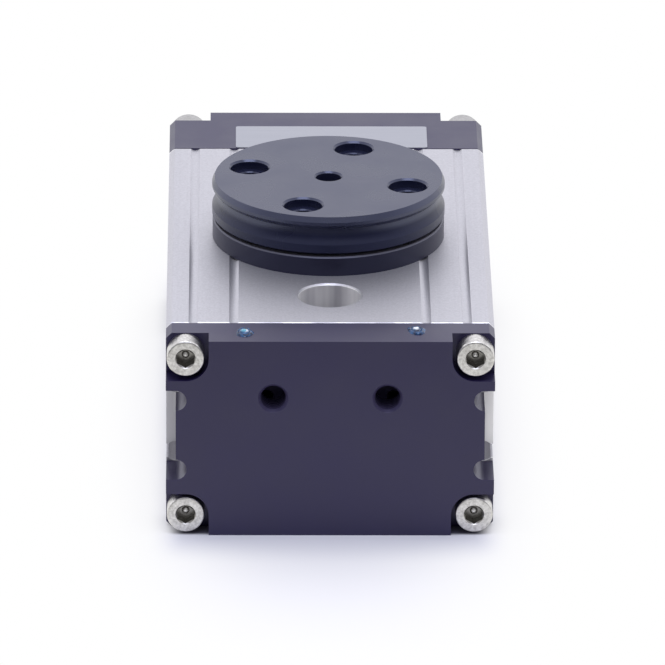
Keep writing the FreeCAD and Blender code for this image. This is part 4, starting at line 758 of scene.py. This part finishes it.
def floor_paper():
    # Smooth uncoated paper: pale and matt, with the shadow near the module, and plain white further
    # off. Beneath the module the colour is painted dark, a painted shadow that shows in the narrow gaps
    # at the covers' lower corners, and near the covers, before and behind them, it is painted a little
    # darker, a painted contact shadow.
    cloud_size = 40.0
    material, tree, place = start_finish("floor_paper")
    cloud = add_node(tree, "ShaderNodeTexNoise", {
        "Vector": place, "Scale": per(cloud_size), "Detail": 1.0})
    sheet = add_node(tree, "ShaderNodeMix", {
        "Factor": cloud.outputs["Fac"], "A": linear("#f0eff0"), "B": linear("#f2f1f2")}, data_type="RGBA")
    centred = add_node(tree, "ShaderNodeVectorMath", {0: place, 1: FOOT_MIDDLE}, operation="SUBTRACT")
    folded = add_node(tree, "ShaderNodeVectorMath", {0: centred.outputs["Vector"]}, operation="ABSOLUTE")
    halves = add_node(tree, "ShaderNodeSeparateXYZ", {"Vector": folded.outputs["Vector"]})
    across = add_node(tree, "ShaderNodeMapRange", {
        "Value": halves.outputs["X"], "From Min": FOOT_HALF_WIDTH - FOOT_FADE,
        "From Max": FOOT_HALF_WIDTH, "To Min": 1.0, "To Max": 0.0}, interpolation_type="SMOOTHSTEP")
    along = add_node(tree, "ShaderNodeMapRange", {
        "Value": halves.outputs["Y"], "From Min": FOOT_HALF_LENGTH - FOOT_EDGE,
        "From Max": FOOT_HALF_LENGTH, "To Min": 1.0, "To Max": 0.0})
    # Painted shadow: the paper is painted dark beneath the module's footprint.
    painted_shadow_under = add_node(tree, "ShaderNodeMath", {
        0: across.outputs["Result"], 1: along.outputs["Result"]}, operation="MULTIPLY")
    beside = add_node(tree, "ShaderNodeMapRange", {
        "Value": halves.outputs["X"], "From Min": FOOT_HALF_WIDTH - FOOT_FADE,
        "From Max": FOOT_HALF_WIDTH + FOOT_FADE, "To Min": 1.0, "To Max": 0.0},
        interpolation_type="SMOOTHSTEP")
    before = add_node(tree, "ShaderNodeMapRange", {
        "Value": halves.outputs["Y"], "From Min": FOOT_HALF_LENGTH,
        "From Max": FOOT_HALF_LENGTH + FOOT_SPREAD, "To Min": 1.0, "To Max": 0.0},
        interpolation_type="SMOOTHSTEP")
    # Painted contact shadow: a little darker near the covers, before and behind them.
    painted_contact_shadow = add_node(tree, "ShaderNodeMath", {
        0: beside.outputs["Result"], 1: before.outputs["Result"]}, operation="MULTIPLY")
    shaded = add_node(tree, "ShaderNodeMix", {
        "Factor": painted_contact_shadow.outputs["Value"], "A": sheet.outputs["Result"], "B": linear("#dedee4")},
        data_type="RGBA")
    colour = add_node(tree, "ShaderNodeMix", {
        "Factor": painted_shadow_under.outputs["Value"], "A": shaded.outputs["Result"], "B": linear("#62606e")},
        data_type="RGBA")
    paper = add_node(tree, "ShaderNodeBsdfDiffuse", {"Color": colour.outputs["Result"]})
    white = add_node(tree, "ShaderNodeEmission", {"Color": (1, 1, 1, 1), "Strength": 1.0})
    widened = add_node(tree, "ShaderNodeVectorMath", {
        0: place, 1: (FLOOR_SIDE_FADE, 1, 1)}, operation="MULTIPLY")
    reach = add_node(tree, "ShaderNodeVectorMath", {0: widened.outputs["Vector"]}, operation="LENGTH")
    outside = add_node(tree, "ShaderNodeMapRange", {
        "Value": reach.outputs["Value"], "From Min": FLOOR_NEAR, "From Max": FLOOR_FAR},
        interpolation_type="SMOOTHSTEP")
    path = add_node(tree, "ShaderNodeLightPath")
    seen = add_node(tree, "ShaderNodeMath", {
        0: path.outputs["Is Camera Ray"], 1: path.outputs["Is Glossy Ray"]}, operation="MAXIMUM")
    shown = add_node(tree, "ShaderNodeMath", {
        0: seen.outputs["Value"], 1: path.outputs["Is Transmission Ray"]}, operation="MAXIMUM")
    # Where the painted shadows lie, the white backdrop is kept off.
    covered = add_node(tree, "ShaderNodeMath", {
        0: painted_shadow_under.outputs["Value"], 1: painted_contact_shadow.outputs["Value"]}, operation="MAXIMUM")
    open_floor = add_node(tree, "ShaderNodeMath", {
        0: 1.0, 1: covered.outputs["Value"]}, operation="SUBTRACT")
    faded = add_node(tree, "ShaderNodeMath", {
        0: outside.outputs["Result"], 1: open_floor.outputs["Value"]}, operation="MULTIPLY")
    share = add_node(tree, "ShaderNodeMath", {
        0: faded.outputs["Value"], 1: shown.outputs["Value"]}, operation="MULTIPLY")
    mixed = add_node(tree, "ShaderNodeMixShader", {
        0: share.outputs["Value"], 1: paper.outputs["BSDF"], 2: white.outputs["Emission"]})
    add_node(tree, "ShaderNodeOutputMaterial", {"Surface": mixed.outputs["Shader"]})
    return material


def make_floor():
    """A wide sheet of paper that ends a little way in front of the module."""
    shape = bmesh.new()
    place = Matrix.Translation((0, FLOOR_REACH - FLOOR_FRONT, 0))
    bmesh.ops.create_grid(shape, x_segments=1, y_segments=1, size=FLOOR_REACH, matrix=place)
    mesh = bpy.data.meshes.new("floor")
    shape.to_mesh(mesh)
    shape.free()
    floor = bpy.data.objects.new("floor", mesh)
    mesh.materials.append(floor_paper())
    bpy.context.scene.collection.objects.link(floor)


def make_world():
    """Soft light, brightest behind the object, with a dim front and a strip of light above the eye."""
    front_level = 0.12
    back_level = 1.25
    strip_level = 1.2
    above_strip = 0.25
    world = bpy.data.worlds.new("studio")
    bpy.context.scene.world = world
    world.use_nodes = True
    tree = world.node_tree
    tree.nodes.clear()
    direction = add_node(tree, "ShaderNodeTexCoord").outputs["Generated"]
    parts = add_node(tree, "ShaderNodeSeparateXYZ", {"Vector": direction})
    level = add_node(tree, "ShaderNodeMapRange", {
        "Value": parts.outputs["Y"], "From Min": -0.8, "From Max": 0.1,
        "To Min": front_level, "To Max": back_level}, interpolation_type="SMOOTHSTEP")
    strip_foot = add_node(tree, "ShaderNodeMapRange", {
        "Value": parts.outputs["Z"], "From Min": 0.3, "From Max": 0.44,
        "To Min": 0.0, "To Max": strip_level}, interpolation_type="SMOOTHSTEP")
    strip_top = add_node(tree, "ShaderNodeMapRange", {
        "Value": parts.outputs["Z"], "From Min": 0.5, "From Max": 0.62,
        "To Min": 1.0, "To Max": above_strip}, interpolation_type="SMOOTHSTEP")
    strip = add_node(tree, "ShaderNodeMath", {
        0: strip_foot.outputs["Result"], 1: strip_top.outputs["Result"]}, operation="MULTIPLY")
    total = add_node(tree, "ShaderNodeMath", {
        0: level.outputs["Result"], 1: strip.outputs["Value"]}, operation="MAXIMUM")
    path = add_node(tree, "ShaderNodeLightPath")
    light = add_node(tree, "ShaderNodeBackground", {
        "Color": linear("#f5f5fb"), "Strength": total.outputs["Value"]})
    white = add_node(tree, "ShaderNodeBackground", {"Color": (1, 1, 1, 1), "Strength": 1.0})
    mixed = add_node(tree, "ShaderNodeMixShader", {
        0: path.outputs["Is Camera Ray"], 1: light.outputs["Background"], 2: white.outputs["Background"]})
    add_node(tree, "ShaderNodeOutputWorld", {"Surface": mixed.outputs["Shader"]})


def make_lamp():
    """A large soft lamp high above the front of the module."""
    data = bpy.data.lights.new("overhead", "AREA")
    data.shape = "DISK"
    data.size = LAMP_SIZE
    data.energy = LAMP_POWER
    data.color = linear("#e4e9ff")[:3]
    lamp = bpy.data.objects.new("overhead", data)
    lamp.location = LAMP_PLACE
    lamp.rotation_euler = (LAMP_TARGET - LAMP_PLACE).to_track_quat("-Z", "Y").to_euler()
    lamp.visible_camera = False
    bpy.context.scene.collection.objects.link(lamp)


def make_camera():
    """A long lens in front of the module, a little left of its middle and about 22 degrees up."""
    distance = 2.306
    elevation = math.radians(21.863)
    yaw = math.radians(0.613)
    roll = math.radians(0.3)
    target = Vector((1.145, 1.4, 22.63)) * MM
    data = bpy.data.cameras.new("camera")
    data.lens = 524.6
    data.sensor_width = 36.0
    data.clip_end = 100.0
    camera = bpy.data.objects.new("camera", data)
    level = math.cos(elevation)
    away = Vector((-math.sin(yaw) * level, -math.cos(yaw) * level, math.sin(elevation)))
    camera.location = target + away * distance
    aimed = (-away).to_track_quat("-Z", "Y")
    camera.rotation_euler = (aimed @ Quaternion((0, 0, 1), roll)).to_euler()
    bpy.context.scene.collection.objects.link(camera)
    bpy.context.scene.camera = camera


make_floor()
make_world()
make_lamp()
make_camera()
bpy.context.scene.view_settings.view_transform = "Standard"
